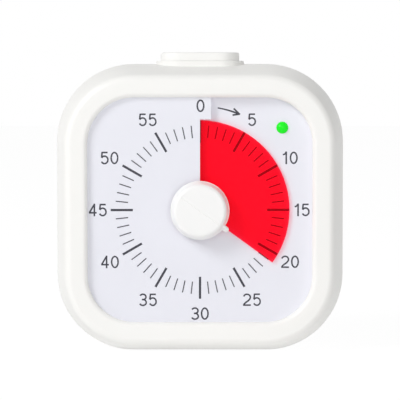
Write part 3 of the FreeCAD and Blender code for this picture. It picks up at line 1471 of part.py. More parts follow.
def button_switch():
    """The click switch that the button's stem works."""
    top = BOARD_TOP_Z + SWITCH_BODY
    front, back = PARTING_W + SWITCH_HALF, PARTING_W - SWITCH_HALF
    body = box(-SWITCH_HALF, SWITCH_HALF, front, back, BOARD_TOP_Z, top)
    return body.fuse(post(PLUNGER_RADIUS, 0.0, PARTING_W, top, top + PLUNGER_HEIGHT))


def buzzer():
    """The round sounder behind the grille."""
    body = rod(BUZZER_RADIUS, REAR_FEATURE_X, REAR_FEATURE_Z, INSIDE_BACK_W + BUZZER_DEPTH, INSIDE_BACK_W)
    front, back = INSIDE_BACK_W + BUZZER_PORT, INSIDE_BACK_W - THROUGH
    port = rod(BUZZER_PORT, REAR_FEATURE_X, REAR_FEATURE_Z, front, back)
    return body.cut(port)


def sound_switch_body():
    """The fixed body of the sound switch."""
    return box(
        -REAR_FEATURE_X - SWITCH_BODY_HALF,
        -REAR_FEATURE_X + SWITCH_BODY_HALF,
        SWITCH_BODY_BACK_W + SWITCH_BODY_DEPTH,
        SWITCH_BODY_BACK_W,
        REAR_FEATURE_Z - SWITCH_BODY_HALF_Z,
        REAR_FEATURE_Z + SWITCH_BODY_HALF_Z,
    )


def sound_switch_slider():
    """The ribbed thumb piece of the sound switch."""
    slider = box(
        -REAR_FEATURE_X - SLIDER_HALF,
        -REAR_FEATURE_X + SLIDER_HALF,
        SWITCH_BODY_BACK_W - SLIDER_SEAT,
        BACK_W + SLIDER_SET_BACK,
        REAR_FEATURE_Z - SLIDER_HALF_Z,
        REAR_FEATURE_Z + SLIDER_HALF_Z,
    )
    front = BACK_W + SLIDER_SET_BACK + SLIDER_RIB_DEPTH
    for rib in (-1, 0, 1):
        x = rib * SLIDER_RIB_PITCH - REAR_FEATURE_X
        ends = (x - SLIDER_RIB_HALF, x + SLIDER_RIB_HALF)
        low, high = REAR_FEATURE_Z - SLIDER_HALF, REAR_FEATURE_Z + SLIDER_HALF
        slider = slider.cut(box(*ends, front, BACK_W - THROUGH, low, high))
    return slider


def cell_places():
    """Each cell's height and the side that its positive end faces."""
    low, high = bay_z()
    spare = (BAY_HEIGHT - 4 * CELL_RADIUS) / 3
    return [(low + spare + CELL_RADIUS, 1), (high - spare - CELL_RADIUS, -1)]


def cell_depth():
    """Depth of the cells' axes."""
    return INSIDE_BACK_W + BAY_DEPTH - CELL_RADIUS - CELL_GAP


def battery_cells():
    """Two round cells that lie opposite ways."""
    bodies = []
    for z, side in cell_places():
        tip = BAY_LENGTH / 2 - CONTACT_SHEET
        flat_end = at(side * (tip - CELL_LENGTH), cell_depth(), z)
        body = Part.makeCylinder(CELL_RADIUS, CELL_LENGTH - CELL_NUB, flat_end, V(side, 0, 0))
        nub_start = at(side * (tip - CELL_NUB), cell_depth(), z)
        nub = Part.makeCylinder(CELL_NUB_RADIUS, CELL_NUB, nub_start, V(side, 0, 0))
        bodies.append(body.fuse(nub))
    return Part.makeCompound(bodies)


def contact_plate(side, z0, z1):
    """A contact plate on one end wall of the bay."""
    wall = side * BAY_LENGTH / 2
    inner = side * (BAY_LENGTH / 2 - CONTACT_SHEET)
    w = cell_depth()
    return box(min(wall, inner), max(wall, inner), w + CONTACT_HALF, w - CONTACT_HALF, z0, z1)


def battery_link():
    """The plate that joins the two cells at one end."""
    places = cell_places()
    return contact_plate(-1, places[0][0] - CONTACT_HALF, places[1][0] + CONTACT_HALF)


def battery_terminals():
    """The two separate plates at the other end, with solder tails through the wall."""
    bodies = []
    for z, side in cell_places():
        bodies.append(contact_plate(1, z - CONTACT_HALF, z + CONTACT_HALF))
    return Part.makeCompound(bodies)


def battery_springs():
    """A cone spring for the flat end of each cell."""
    bodies = []
    length = BAY_LENGTH - 2 * CONTACT_SHEET - CELL_LENGTH
    for z, side in cell_places():
        foot = at(-side * (BAY_LENGTH / 2 - CONTACT_SHEET), cell_depth(), z)
        radii = (CONE_FOOT, CONE_TOP)
        cone = coil_tube(foot, V(side, 0, 0), V(0, 0, 1), radii, CONE_TURNS, length, CONE_WIRE, 12, WIRE_SIDES)
        bodies.append(cone)
    return Part.makeCompound(bodies)


def door_bounds():
    """Half width, bottom and top of the battery door."""
    low, high = bay_z()
    return BAY_LENGTH / 2 + DOOR_LEDGE, low - DOOR_LEDGE, high + DOOR_LEDGE


def door_axis():
    """Depth and height of the battery door's hinge."""
    half, low, high = door_bounds()
    return BACK_W + DOOR_SHEET / 2, low + DOOR_SHEET / 2


def battery_door():
    """The door over the cells, on two pins at its lower corners, with grip ribs on top."""
    half, low, high = door_bounds()
    pin_w, pin_z = door_axis()
    front = BACK_W + DOOR_SHEET
    panel = box(-half, half, front, BACK_W, pin_z, high)
    edge = Part.makeCylinder(DOOR_SHEET / 2, 2 * half, at(-half, pin_w, pin_z), V(1, 0, 0))
    reach = half + DOOR_PIN_REACH
    pins = Part.makeCylinder(DOOR_PIN, 2 * reach, at(-reach, pin_w, pin_z), V(1, 0, 0))
    door = panel.fuse([edge, pins])
    for rib in range(RIB_COUNT):
        z = high - RIB_START - rib * RIB_PITCH
        door = door.cut(box(-RIB_HALF, RIB_HALF, BACK_W + RIB_DEPTH, BACK_W - THROUGH, z, z + RIB_WIDTH))
    return door


def build():
    """Every node and its solid."""
    third, fourth, rotor = train_places()
    return {
        "front_shell": front_shell(),
        "rear_shell": rear_shell(),
        "dial_plate": dial_plate(),
        "time_disc": time_disc(),
        "disc_hub": disc_hub(),
        "setting_knob": setting_knob(),
        "knob_shaft": knob_shaft(),
        "movement_bracket": movement_bracket(),
        "bracket_screws": bracket_screws(),
        "dial_screws": dial_screws(),
        "movement_base": movement_base(),
        "movement_cover": movement_cover(),
        "movement_screws": movement_screws(),
        "main_wheel": main_wheel(),
        "clutch_spring": clutch_spring(),
        "retaining_ring": retaining_ring(),
        "code_disc": code_disc(),
        "contact_wipers": contact_wipers(),
        "third_wheel": train_wheel(third, THIRD_DIRECTION, MAIN_W, FOURTH_DIRECTION, THIRD_W),
        "fourth_wheel": train_wheel(fourth, FOURTH_DIRECTION, THIRD_W, ROTOR_DIRECTION, FOURTH_W),
        "rotor_pinion": rotor_pinion(),
        "rotor_magnet": magnet_blank(),
        "stator": stator(),
        "coil_bobbin": coil_bobbin(),
        "coil": coil(),
        "circuit_board": circuit_board(),
        "board_screws": board_screws(),
        "timer_chip": timer_chip(),
        "quartz_crystal": quartz_crystal(),
        "board_capacitor": board_capacitor(),
        "lamp": lamp(),
        "indicator_lens": indicator_lens(),
        "top_button": top_button(),
        "button_springs": button_springs(),
        "button_board": button_board(),
        "button_board_screws": button_board_screws(),
        "button_switch": button_switch(),
        "buzzer": buzzer(),
        "sound_switch_body": sound_switch_body(),
        "sound_switch_slider": sound_switch_slider(),
        "battery_cells": battery_cells(),
        "battery_link": battery_link(),
        "battery_terminals": battery_terminals(),
        "battery_springs": battery_springs(),
        "battery_door": battery_door(),
        "case_screws": case_screws(),
    }


os.makedirs("parts", exist_ok=True)
for name, shape in build().items():
    shape.exportStep("parts/" + name + ".step")
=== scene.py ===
"""Looks of a square visual countdown timer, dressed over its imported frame."""

import json
import logging
import math
from contextlib import contextmanager
from dataclasses import dataclass, field, replace
from enum import Enum
from functools import cache
from typing import Callable, Iterator, Sequence

import bmesh
import bpy
from mathutils import Matrix, Vector


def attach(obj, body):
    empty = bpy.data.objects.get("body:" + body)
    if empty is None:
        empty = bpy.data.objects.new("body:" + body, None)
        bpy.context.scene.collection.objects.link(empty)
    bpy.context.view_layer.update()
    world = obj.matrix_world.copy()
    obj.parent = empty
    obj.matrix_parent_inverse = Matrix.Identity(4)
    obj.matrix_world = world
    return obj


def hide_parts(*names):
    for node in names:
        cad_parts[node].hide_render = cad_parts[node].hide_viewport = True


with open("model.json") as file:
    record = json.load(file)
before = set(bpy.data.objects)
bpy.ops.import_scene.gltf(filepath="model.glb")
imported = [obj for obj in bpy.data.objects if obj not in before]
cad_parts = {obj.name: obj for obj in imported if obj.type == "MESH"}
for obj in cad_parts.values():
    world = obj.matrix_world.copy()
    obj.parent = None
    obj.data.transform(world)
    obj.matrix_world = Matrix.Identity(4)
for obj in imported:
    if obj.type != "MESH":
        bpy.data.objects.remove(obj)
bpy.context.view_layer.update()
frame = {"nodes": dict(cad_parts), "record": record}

log = logging.getLogger("timer")

Piece = bpy.types.Object
Tree = bpy.types.NodeTree
Socket = bpy.types.NodeSocket
Span = tuple[float, float]
Triple = tuple[float, float, float]
Test = Callable[[Vector, Vector], bool]

# Sizes are millimetres, unless a comment says metres. x is right and z is up. w is depth,
# counted forward from the low edge of the dial's middle surface. A Span of a rounded
# square is its half width and its corner. Dial angles are degrees clockwise from
# 12 o'clock, as the user sees them.
MM = 0.001
DIAL_Y = -13.25
DIAL_Z = 44.38
RIM_W = 3.9
PARTING_W = -14.1
BACK_W = -34.1
INSIDE_BACK_W = -32.1
RAMP_PITCH = 2.0
DIAL_SHEET = 0.6
LAMP_OFFSET = 25.35
REST_ANGLE = 126.0
MINUTE_ANGLE = 6.0
FORWARD = Vector((0.0, -1.0, 0.0))

# How far a cutting tool reaches past a surface, how far where nothing is near, and how far
# a rib's foot sinks into the wall that it grows from.
PAST = 1.0
FAR = 6.0
ROOT = 0.5

# How finely curves are divided, the distances in metres that count as none, and the least
# cosine that counts as along a direction.
ARC_STEPS = 20
SMALL_STEPS = 8
ROUND_STEPS = 6
WELD = 1e-6
TIGHT = 1e-7
ALONG = 0.9
SMOOTH_ANGLE = math.radians(35.0)


class Pick(Enum):
    """What a selection in edit mode is made of."""

    VERTS = (True, False, False)
    EDGES = (False, True, False)
    FACES = (False, False, True)


class Join(Enum):
    """How one solid is worked into another."""

    ADD = "UNION"
    CUT = "DIFFERENCE"
    KEEP = "INTERSECT"


def at(x: float, w: float, z: float) -> Vector:
    """A place in metres from its side, depth and height in millimetres."""
    return Vector((x, DIAL_Y - w, z)) * MM


def on_dial(radius: float, angle: float, w: float) -> Vector:
    """A place in metres from its radius, dial angle and depth."""
    turn = math.radians(angle)
    return at(radius * math.sin(turn), w, DIAL_Z + radius * math.cos(turn))


def ramp(angle: float) -> float:
    """Depth of the dial's middle surface at a dial angle."""
    return RAMP_PITCH * angle / 360.0


def release() -> None:
    """Leaves edit mode and deselects everything."""
    if bpy.context.object and bpy.context.object.mode != "OBJECT":
        bpy.ops.object.mode_set(mode="OBJECT")
    bpy.ops.object.select_all(action="DESELECT")


def take(piece: Piece) -> None:
    """Makes one piece the only selected and the active one.

    Args:
        piece: the object.
    """
    release()
    piece.select_set(True)
    bpy.context.view_layer.objects.active = piece


@contextmanager
def editing(piece: Piece) -> Iterator[None]:
    """Edit mode on one piece, by its vertices, and back to object mode after it.

    Args:
        piece: the object to edit.

    Returns:
        Nothing, for the length of the block.
    """
    take(piece)
    bpy.context.tool_settings.mesh_select_mode = Pick.VERTS.value
    bpy.ops.object.mode_set(mode="EDIT")
    try:
        yield
    finally:
        bpy.ops.object.mode_set(mode="OBJECT")


def choose(piece: Piece, pick: Pick, test: Test) -> None:
    """Selects what passes a test on its place and direction, and stays in edit mode.

    Args:
        piece: the object being edited.
        pick: faces or edges.
        test: called with the middle and the normal (or an edge's direction), in metres.
    """
    bpy.ops.object.mode_set(mode="OBJECT")
    mesh = piece.data
    for group in (mesh.vertices, mesh.edges, mesh.polygons):
        group.foreach_set("select", [False] * len(group))
    if pick is Pick.FACES:
        for face in mesh.polygons:
            face.select = test(face.center, face.normal)
    else:
        for edge in mesh.edges:
            a, b = (mesh.vertices[index].co for index in edge.vertices)
            edge.select = test((a + b) / 2, (b - a).normalized())
    bpy.context.tool_settings.mesh_select_mode = pick.value
    bpy.ops.object.mode_set(mode="EDIT")


def at_depth(w: float) -> Test:
    """A test that passes what lies at one depth."""
    level = at(0.0, w, 0.0).y
    return lambda middle, _: abs(middle.y - level) < WELD


def round_over(piece: Piece, radius: float, test: Test, steps: int = ROUND_STEPS) -> None:
    """Rounds over the edges that pass a test on their middle and direction, in edit mode."""
    choose(piece, Pick.EDGES, test)
    bpy.ops.mesh.bevel(offset=radius * MM, segments=steps, affect="EDGES")


def weld(threshold: float = WELD) -> None:
    """Merges doubles all over the piece in edit mode."""
    bpy.ops.mesh.select_all(action="SELECT")
    bpy.ops.mesh.remove_doubles(threshold=threshold)


def face_out() -> None:
    """Turns all faces of the piece in edit mode outwards."""
    bpy.ops.mesh.select_all(action="SELECT")
    bpy.ops.mesh.normals_make_consistent(inside=False)


def recalculate(piece: Piece) -> Piece:
    """Merges doubles and turns all faces outwards.

    Args:
        piece: the object.

    Returns:
        The piece.
    """
    with editing(piece):
        weld(TIGHT)
        face_out()
    return piece


def apply_place(piece: Piece) -> Piece:
    """Moves a piece's place, turn and size into its mesh.

    Args:
        piece: the object.

    Returns:
        The piece.
    """
    take(piece)
    bpy.ops.object.transform_apply(location=True, rotation=True, scale=True)
    return piece


def apply_modifier(piece: Piece, kind: str, **settings: object) -> Piece:
    """Adds one modifier and applies it.

    Args:
        piece: the object that gets it.
        kind: Blender's name of the modifier type.
        settings: the modifier's own properties.

    Returns:
        The piece.
    """
    take(piece)
    modifier = piece.modifiers.new(kind.lower(), kind)
    for key, value in settings.items():
        setattr(modifier, key, value)
    bpy.ops.object.modifier_apply(modifier=modifier.name)
    return piece


def work_in(piece: Piece, tool: Piece, how: Join) -> Piece:
    """Adds, cuts or keeps with another solid, which is used up.

    Args:
        piece: the solid that stays.
        tool: the solid that is used up.
        how: the boolean operation.

    Returns:
        The piece.
    """
    apply_modifier(piece, "BOOLEAN", object=tool, operation=how.value, solver="MANIFOLD")
    bpy.data.objects.remove(tool)
    with editing(piece):
        weld()
        bpy.ops.mesh.dissolve_degenerate(threshold=WELD)
    return piece


def merge(pieces: Sequence[Piece]) -> Piece:
    """Joins loose objects into the first one, without any boolean.

    Args:
        pieces: the objects.

    Returns:
        The first object.
    """
    take(pieces[0])
    for piece in pieces[1:]:
        piece.select_set(True)
    bpy.ops.object.join()
    return pieces[0]


def turn_on_dial(piece: Piece, angle: float, move: Vector = Vector()) -> Piece:
    """Turns a piece clockwise about the dial's axis and then moves it, in its mesh.

    Args:
        piece: the object to turn.
        angle: degrees clockwise, as the user sees them.
        move: how far it moves, in metres.

    Returns:
        The piece.
    """
    axis = at(0.0, 0.0, DIAL_Z)
    turn = Matrix.Rotation(math.radians(angle), 4, "Y")
    piece.matrix_world = Matrix.Translation(axis + move) @ turn @ Matrix.Translation(-axis)
    return apply_place(piece)


def soften(piece: Piece, weighted: bool = True) -> Piece:
    """Smooth shading on curves, flat shading on flats.

    Args:
        piece: the object to shade.
        weighted: lets large faces lead the normals.

    Returns:
        The piece.
    """
    take(piece)
    bpy.ops.object.shade_smooth_by_angle(angle=SMOOTH_ANGLE)
    if weighted:
        apply_modifier(piece, "WEIGHTED_NORMAL", keep_sharp=True, weight=80)
    return piece


@dataclass(frozen=True)
class Ring:
    """A rounded rectangle that faces the user."""

    half_x: float
    half_z: float
    corner: float
    w: float
    x: float = 0.0
    z: float = DIAL_Z
    round_edge: float = 0.0

    @classmethod
    def square(cls, size: Span, w: float, round_edge: float = 0.0, grow: float = 0.0) -> "Ring":
        """A ring round the dial's axis from its half width and corner, grown by a margin all round."""
        return cls(size[0] + grow, size[0] + grow, size[1] + grow, w, round_edge=round_edge)

    def middle(self) -> Vector:
        """Its middle, in metres."""
        return at(self.x, self.w, self.z)

    def arc_centre(self, side: int, level: int) -> Vector:
        """From its middle to the centre of one corner's arc, in metres."""
        return Vector((side * (self.half_x - self.corner), 0.0, level * (self.half_z - self.corner))) * MM

    def add(self, steps: int) -> None:
        """Adds the ring's face in edit mode and selects it.

        Args:
            steps: segments of each corner's arc.
        """
        middle = self.middle()
        bpy.ops.mesh.primitive_plane_add(size=2.0 * MM, location=middle, rotation=(math.pi / 2, 0.0, 0.0))
        bpy.ops.transform.resize(value=(self.half_x, 1.0, self.half_z), center_override=middle)
        bpy.ops.mesh.bevel(offset=self.corner * MM, segments=steps, affect="VERTICES", clamp_overlap=False)

    def holds(self, place: Vector, _: Vector) -> bool:
        """True for the middle of an edge that is part of the ring.

        Args:
            place: the middle of an edge, in metres.

        Returns:
            Whether it lies on the ring's own outline.
        """
        local = place - self.middle()
        across = abs(local.x) / MM - (self.half_x - self.corner)
        along = abs(local.z) / MM - (self.half_z - self.corner)
        outside = math.hypot(max(across, 0.0), max(along, 0.0))
        reach = outside + min(max(across, along), 0.0) - self.corner
        chord_gap = 0.05
        return abs(local.y) < TIGHT and abs(reach) < chord_gap


def reselect(piece: Piece, indices: Sequence[int], test: Callable[[Vector], bool]) -> None:
    """Selects, of some vertices in edit mode, those whose place passes a test.

    Args:
        piece: the object being edited.
        indices: the vertices in question.
        test: called with each one's place, in metres.
    """
    mesh = bmesh.from_edit_mesh(piece.data)
    mesh.verts.ensure_lookup_table()
    for index in indices:
        mesh.verts[index].select = test(mesh.verts[index].co)
    mesh.select_flush_mode()
    bmesh.update_edit_mesh(piece.data)


def draw_on(piece: Piece, near: Ring, far: Ring) -> None:
    """Extrudes the selected ring and reshapes its corners into the next ring.

    Args:
        piece: the object in edit mode, with the near ring selected.
        near: the ring that is selected.
        far: the ring to make, which stays selected.
    """
    middle = far.middle()
    bpy.ops.mesh.extrude_region_move(TRANSFORM_OT_translate={"value": middle - near.middle()})
    mesh = bmesh.from_edit_mesh(piece.data)
    chosen = [vert.index for vert in mesh.verts if vert.select]
    share = far.corner / near.corner
    for side in (-1, 1):
        for level in (-1, 1):
            reselect(piece, chosen, lambda co: (co.x - middle.x) * side > 0.0 and (co.z - middle.z) * level > 0.0)
            start, end = near.arc_centre(side, level), far.arc_centre(side, level)
            bpy.ops.transform.resize(value=(share, 1.0, share), center_override=middle + start)
            bpy.ops.transform.translate(value=end - start)
    reselect(piece, chosen, lambda _: True)


def loft(rings: Sequence[Ring], loop: bool, steps: int = ARC_STEPS) -> Piece:
    """A solid through rounded rectangles, its marked edges rounded over.

    Args:
        rings: the sections in order.
        loop: True to join the last ring to the first, False to close both ends.
        steps: segments of each corner's arc.

    Returns:
        The new object.
    """
    release()
    bpy.ops.mesh.primitive_plane_add(size=MM)
    piece = bpy.context.object
    with editing(piece):
        bpy.ops.mesh.select_all(action="SELECT")
        bpy.ops.mesh.delete(type="VERT")
        rings[0].add(steps)
        bpy.ops.mesh.delete(type="ONLY_FACE")
        bpy.ops.mesh.select_all(action="SELECT")
        following = [*rings[1:], rings[0]] if loop else rings[1:]
        for near, far in zip(rings, following):
            draw_on(piece, near, far)
        if loop:
            weld()
        else:
            bpy.ops.mesh.edge_face_add()
            choose(piece, Pick.EDGES, rings[0].holds)
            bpy.ops.mesh.edge_face_add()
        face_out()
        for ring in rings:
            if ring.round_edge > 0.0:
                round_over(piece, ring.round_edge, ring.holds)
    return piece


def rounded_block(near: Ring, back: float, steps: int = SMALL_STEPS) -> Piece:
    """A straight prism from a rounded rectangle back to a depth."""
    return loft([near, replace(near, w=back, round_edge=0.0)], loop=False, steps=steps)


def block(x: Span, w: Span, z: Span) -> Piece:
    """A rectangular block between two sides, two depths and two heights.

    Args:
        x: left and right.
        w: front and back.
        z: bottom and top.

    Returns:
        The new object.
    """
    release()
    middle = at(sum(x) / 2, sum(w) / 2, sum(z) / 2)
    sizes = Vector((abs(x[1] - x[0]), abs(w[1] - w[0]), abs(z[1] - z[0]))) * MM
    bpy.ops.mesh.primitive_cube_add(size=1.0, location=middle, scale=sizes)
    return apply_place(bpy.context.object)


def rod(radius: float, x: float, z: float, w: Span, steps: int = 64) -> Piece:
    """A round bar along the depth.

    Args:
        radius: its radius.
        x: its side.
        z: its height.
        w: depth of its front and back ends.
        steps: faces round it.

    Returns:
        The new object.
    """
    release()
    bpy.ops.mesh.primitive_cylinder_add(
        vertices=steps,
        radius=radius * MM,
        depth=abs(w[0] - w[1]) * MM,
        location=at(x, sum(w) / 2, z),
        rotation=(math.pi / 2, 0.0, 0.0),
    )
    return apply_place(bpy.context.object)


def wire(places: Sequence[Vector]) -> Piece:
    """A chain of edges.

    Args:
        places: its corners in order, in metres.

    Returns:
        The new object.
    """
    release()
    bpy.ops.mesh.primitive_plane_add(size=MM)
    piece = bpy.context.object
    with editing(piece):
        bpy.ops.mesh.select_all(action="SELECT")
        bpy.ops.mesh.merge(type="CENTER")
        bpy.ops.transform.translate(value=places[0])
        for here, there in zip(places, places[1:]):
            bpy.ops.mesh.extrude_region_move(TRANSFORM_OT_translate={"value": there - here})
    return piece


def sweep(piece: Piece, angle: float, climb: float, steps: int, **settings: object) -> Piece:
    """Sweeps a wire about the axis along y, by an angle in radians and a climb in metres."""
    turn = {"axis": "Y", "angle": angle, "screw_offset": climb, "steps": steps, "render_steps": steps}
    return apply_modifier(piece, "SCREW", **turn, **settings)


def turned(points: Sequence[Span], x: float, z: float, steps: int = 48) -> Piece:
    """A solid turned about an axis along the depth.

    Args:
        points: radius and depth of each corner of the profile, from the axis round to the axis.
        x: side of the axis.
        z: height of the axis.
        steps: faces round it.

    Returns:
        The new object.
    """
    piece = wire([Vector((0.0, -w, radius)) * MM for radius, w in points])
    sweep(piece, math.tau, 0.0, steps, use_merge_vertices=True, merge_threshold=WELD)
    piece.location = at(x, 0.0, z)
    return recalculate(apply_place(piece))


def pill(size: Span, z: Span, top_round: float = 0.0) -> Piece:
    """An upright prism with a long round-ended plan over the parting plane.

    Args:
        size: its length along x and its size in depth.
        z: bottom and top.
        top_round: radius of its top edge.

    Returns:
        The new object.
    """
    length, width = size
    bottom, top = z
    release()
    middle = at(0.0, PARTING_W, bottom)
    bpy.ops.mesh.primitive_plane_add(size=1.0, location=middle)
    piece = apply_place(bpy.context.object)
    with editing(piece):
        bpy.ops.mesh.select_all(action="SELECT")
        bpy.ops.transform.resize(value=(length * MM, width * MM, 1.0), center_override=middle)
        bpy.ops.mesh.bevel(offset=width / 2 * MM, segments=ARC_STEPS, affect="VERTICES", clamp_overlap=False)
        weld()
        bpy.ops.mesh.extrude_region_move(TRANSFORM_OT_translate={"value": (0.0, 0.0, (top - bottom) * MM)})
        face_out()
        if top_round > 0.0:
            round_over(piece, top_round, lambda m, _: abs(m.z - top * MM) < WELD)
    return piece


def helicoid(radii: Span, angles: Span, lift: float, sheet: float, steps: int) -> Piece:
    """A sheet that climbs one ramp pitch in a turn.

    Args:
        radii: inner and outer radius.
        angles: dial angles where it begins and ends.
        lift: height of its middle above the ramp's.
        sheet: thickness.
        steps: segments round it.

    Returns:
        The new object.
    """
    start, end = angles
    piece = wire([Vector((0.0, 0.0, radius * MM)) for radius in radii])
    climb = -ramp(end - start) * MM
    sweep(piece, math.radians(end - start), climb, steps, use_normal_calculate=True)
    place = Matrix.Translation(at(0.0, ramp(start) + lift, DIAL_Z))
    piece.matrix_world = place @ Matrix.Rotation(math.radians(start), 4, "Y")
    apply_place(piece)
    apply_modifier(piece, "SOLIDIFY", thickness=sheet * MM, offset=0.0, use_even_offset=True)
    return recalculate(piece)


def add_node(tree: Tree, kind: str, inputs: dict[str | int, object], **settings: object) -> bpy.types.Node:
    """Adds a shader node and fills its inputs.

    Args:
        tree: the nodes to add to.
        kind: Blender's name of the node type.
        inputs: for an input's name or number, its value or the socket that feeds it.
        settings: the node's own properties.

    Returns:
        The node.
    """
    node = tree.nodes.new(kind)
    for key, value in settings.items():
        setattr(node, key, value)
    for key, value in inputs.items():
        if isinstance(value, Socket):
            tree.links.new(value, node.inputs[key])
        else:
            node.inputs[key].default_value = value
    return node


def reckon(tree: Tree, operation: str, first: Socket, second: Socket | float, clamp: bool = False) -> Socket:
    """Reckons with a socket and a number or second socket in a Math node."""
    inputs = {0: first, 1: second}
    return add_node(tree, "ShaderNodeMath", inputs, operation=operation, use_clamp=clamp).outputs[0]


def swing(tree: Tree, noise: Socket, amount: Socket) -> Socket:
    """A noise as a swing to both sides of zero."""
    return reckon(tree, "MULTIPLY", reckon(tree, "SUBTRACT", noise, 0.5), amount)


def new_material(label: str, surface: Callable[[Tree], Socket]) -> bpy.types.Material:
    """A material of its own nodes.

    Args:
        label: the material's name.
        surface: adds the nodes to the tree and returns the socket of the surface.

    Returns:
        The material.
    """
    made = bpy.data.materials.new(label)
    made.use_nodes = True
    tree = made.node_tree
    tree.nodes.clear()
    add_node(tree, "ShaderNodeOutputMaterial", {"Surface": surface(tree)})
    return made


def new_group(name: str, takes: dict[str, str], gives: dict[str, str]) -> Tree:
    """An empty shader node group with named sockets.

    Args:
        name: the group's name.
        takes: type of each input.
        gives: type of each output.

    Returns:
        The group.
    """
    group = bpy.data.node_groups.new(name, "ShaderNodeTree")
    for direction, sockets in (("INPUT", takes), ("OUTPUT", gives)):
        for label, kind in sockets.items():
            group.interface.new_socket(name=label, in_out=direction, socket_type="NodeSocket" + kind)
    return group


@cache
def tone_group() -> Tree:
    """Shared group, built once: a colour that drifts a little over the surface.

    Returns:
        The group.
    """
    takes = {"Vector": "Vector", "Colour": "Color", "Size": "Float", "Amount": "Float"}
    group = new_group("tone_drift", takes, {"Colour": "Color"})
    given = add_node(group, "NodeGroupInput", {}).outputs
    noise_inputs = {"Vector": given["Vector"], "Scale": given["Size"], "Detail": 3.0}
    noise = add_node(group, "ShaderNodeTexNoise", noise_inputs).outputs["Fac"]
    level = reckon(group, "ADD", swing(group, noise, given["Amount"]), 1.0)
    shade = add_node(group, "ShaderNodeHueSaturation", {"Color": given["Colour"], "Value": level})
    add_node(group, "NodeGroupOutput", {"Colour": shade.outputs["Color"]})
    return group


@cache
def skin_group() -> Tree:
    """Shared group, built once: a fine skin, as height and as roughness.

    Returns:
        The group.
    """
    takes = {"Vector": "Vector", "Scale": "Float", "Roughness": "Float", "Spread": "Float"}
    group = new_group("fine_skin", takes, {"Height": "Float", "Roughness": "Float"})
    given = add_node(group, "NodeGroupInput", {}).outputs
    fine_inputs = {"Vector": given["Vector"], "Scale": given["Scale"], "Detail": 2.0}
    fine = add_node(group, "ShaderNodeTexNoise", fine_inputs).outputs["Fac"]
    broad_inputs = {"Vector": given["Vector"], "Scale": 60.0, "Detail": 4.0}
    broad = add_node(group, "ShaderNodeTexNoise", broad_inputs).outputs["Fac"]
    rough = reckon(group, "ADD", swing(group, broad, given["Spread"]), given["Roughness"], clamp=True)
    add_node(group, "NodeGroupOutput", {"Height": fine, "Roughness": rough})
    return group


@dataclass(frozen=True)
class Finish:
    """A plastic, metal or ink, as numbers for one material."""

    name: str
    colour: Triple
    roughness: float
    metallic: float = 0.0
    coat: float = 0.0
    coat_roughness: float = 0.12
    specular: float = 0.5
    grain: float = 900.0
    depth: float = 0.02
    stretch: Triple = (1.0, 1.0, 1.0)
    drift: float = 0.03
    drift_size: float = 45.0
    rough_drift: float = 0.06
    # Emission strength: the lamp's own light on the lens and the lamp, a painted glow on the red film.
    glow: float = 0.0

    @cache
    def material(self) -> bpy.types.Material:
        """The material, built once."""
        return new_material(self.name + "_finish", self.surface)

    def surface(self, tree: Tree) -> Socket:
        """Adds the Principled shader, with the shared groups that feed it.

        Args:
            tree: the material's nodes.

        Returns:
            The shader's output.
        """
        place = add_node(tree, "ShaderNodeTexCoord", {}).outputs["Object"]
        mapping = add_node(tree, "ShaderNodeMapping", {"Vector": place, "Scale": self.stretch})
        tone_inputs = {"Vector": place, "Size": self.drift_size, "Amount": self.drift}
        tone_inputs["Colour"] = (*self.colour, 1.0)
        tone = add_node(tree, "ShaderNodeGroup", tone_inputs, node_tree=tone_group()).outputs["Colour"]
        skin_inputs = {"Scale": self.grain, "Roughness": self.roughness, "Spread": self.rough_drift}
        skin_inputs["Vector"] = mapping.outputs["Vector"]
        skin = add_node(tree, "ShaderNodeGroup", skin_inputs, node_tree=skin_group()).outputs
        bump_inputs = {"Strength": 1.0, "Distance": self.depth * MM, "Height": skin["Height"]}
        inputs = {
            "Base Color": tone,
            "Metallic": self.metallic,
            "Roughness": skin["Roughness"],
            "Specular IOR Level": self.specular,
            "Coat Weight": self.coat,
            "Coat Roughness": self.coat_roughness,
            "Normal": add_node(tree, "ShaderNodeBump", bump_inputs).outputs["Normal"],
        }
        # Emission is real light on the lamp's lens and the lamp, and a painted glow on the red film, which is no
        # lamp.
        if self.glow > 0.0:
            inputs |= {"Emission Color": tone, "Emission Strength": self.glow}
        return add_node(tree, "ShaderNodeBsdfPrincipled", inputs).outputs["BSDF"]


@dataclass(frozen=True)
class FilmFinish(Finish):
    """The see-through red film: mostly a red filter, with a thin skin of its own colour and a painted glow that
    brightens its red.
    """

    tint: Triple = (1.0, 0.26, 0.39)
    body: float = 0.06

    def surface(self, tree: Tree) -> Socket:
        """Adds a tinted Transparent shader, mixed with the glossy one.

        Args:
            tree: the material's nodes.

        Returns:
            The mixed surface.
        """
        clear = add_node(tree, "ShaderNodeBsdfTransparent", {"Color": (*self.tint, 1.0)})
        inputs = {"Fac": self.body, 1: clear.outputs["BSDF"], 2: super().surface(tree)}
        return add_node(tree, "ShaderNodeMixShader", inputs).outputs["Shader"]


CASE_IVORY = Finish("case_ivory", (0.93, 0.925, 0.9), 0.42, grain=2600.0, depth=0.006, drift=0.015)
DIAL_WHITE = Finish("dial_white", (0.83, 0.835, 0.9), 0.6, grain=3000.0, depth=0.004, drift=0.015)
PRINT_SLATE = Finish("print_slate", (0.036, 0.036, 0.052), 0.55, grain=4000.0, depth=0.003, drift=0.1)
KNOB_WHITE = Finish("knob_white", (0.93, 0.93, 0.92), 0.35, grain=2600.0, depth=0.004, drift=0.01)
BUTTON_WHITE = Finish("button_white", (0.95, 0.945, 0.925), 0.4, grain=2600.0, depth=0.005, drift=0.012)
LENS_GREEN = Finish("lens_green", (0.003, 0.58, 0.008), 0.16, coat=0.3, specular=0.1, drift=0.05, depth=0.0, glow=0.6)
# The red film's glow is painted light: the film is no lamp, and its emission brightens its red over the dial.
FILM_RED = FilmFinish("red_film", (1.0, 0.004, 0.02), 0.3, grain=400.0, depth=0.004, glow=1.3)

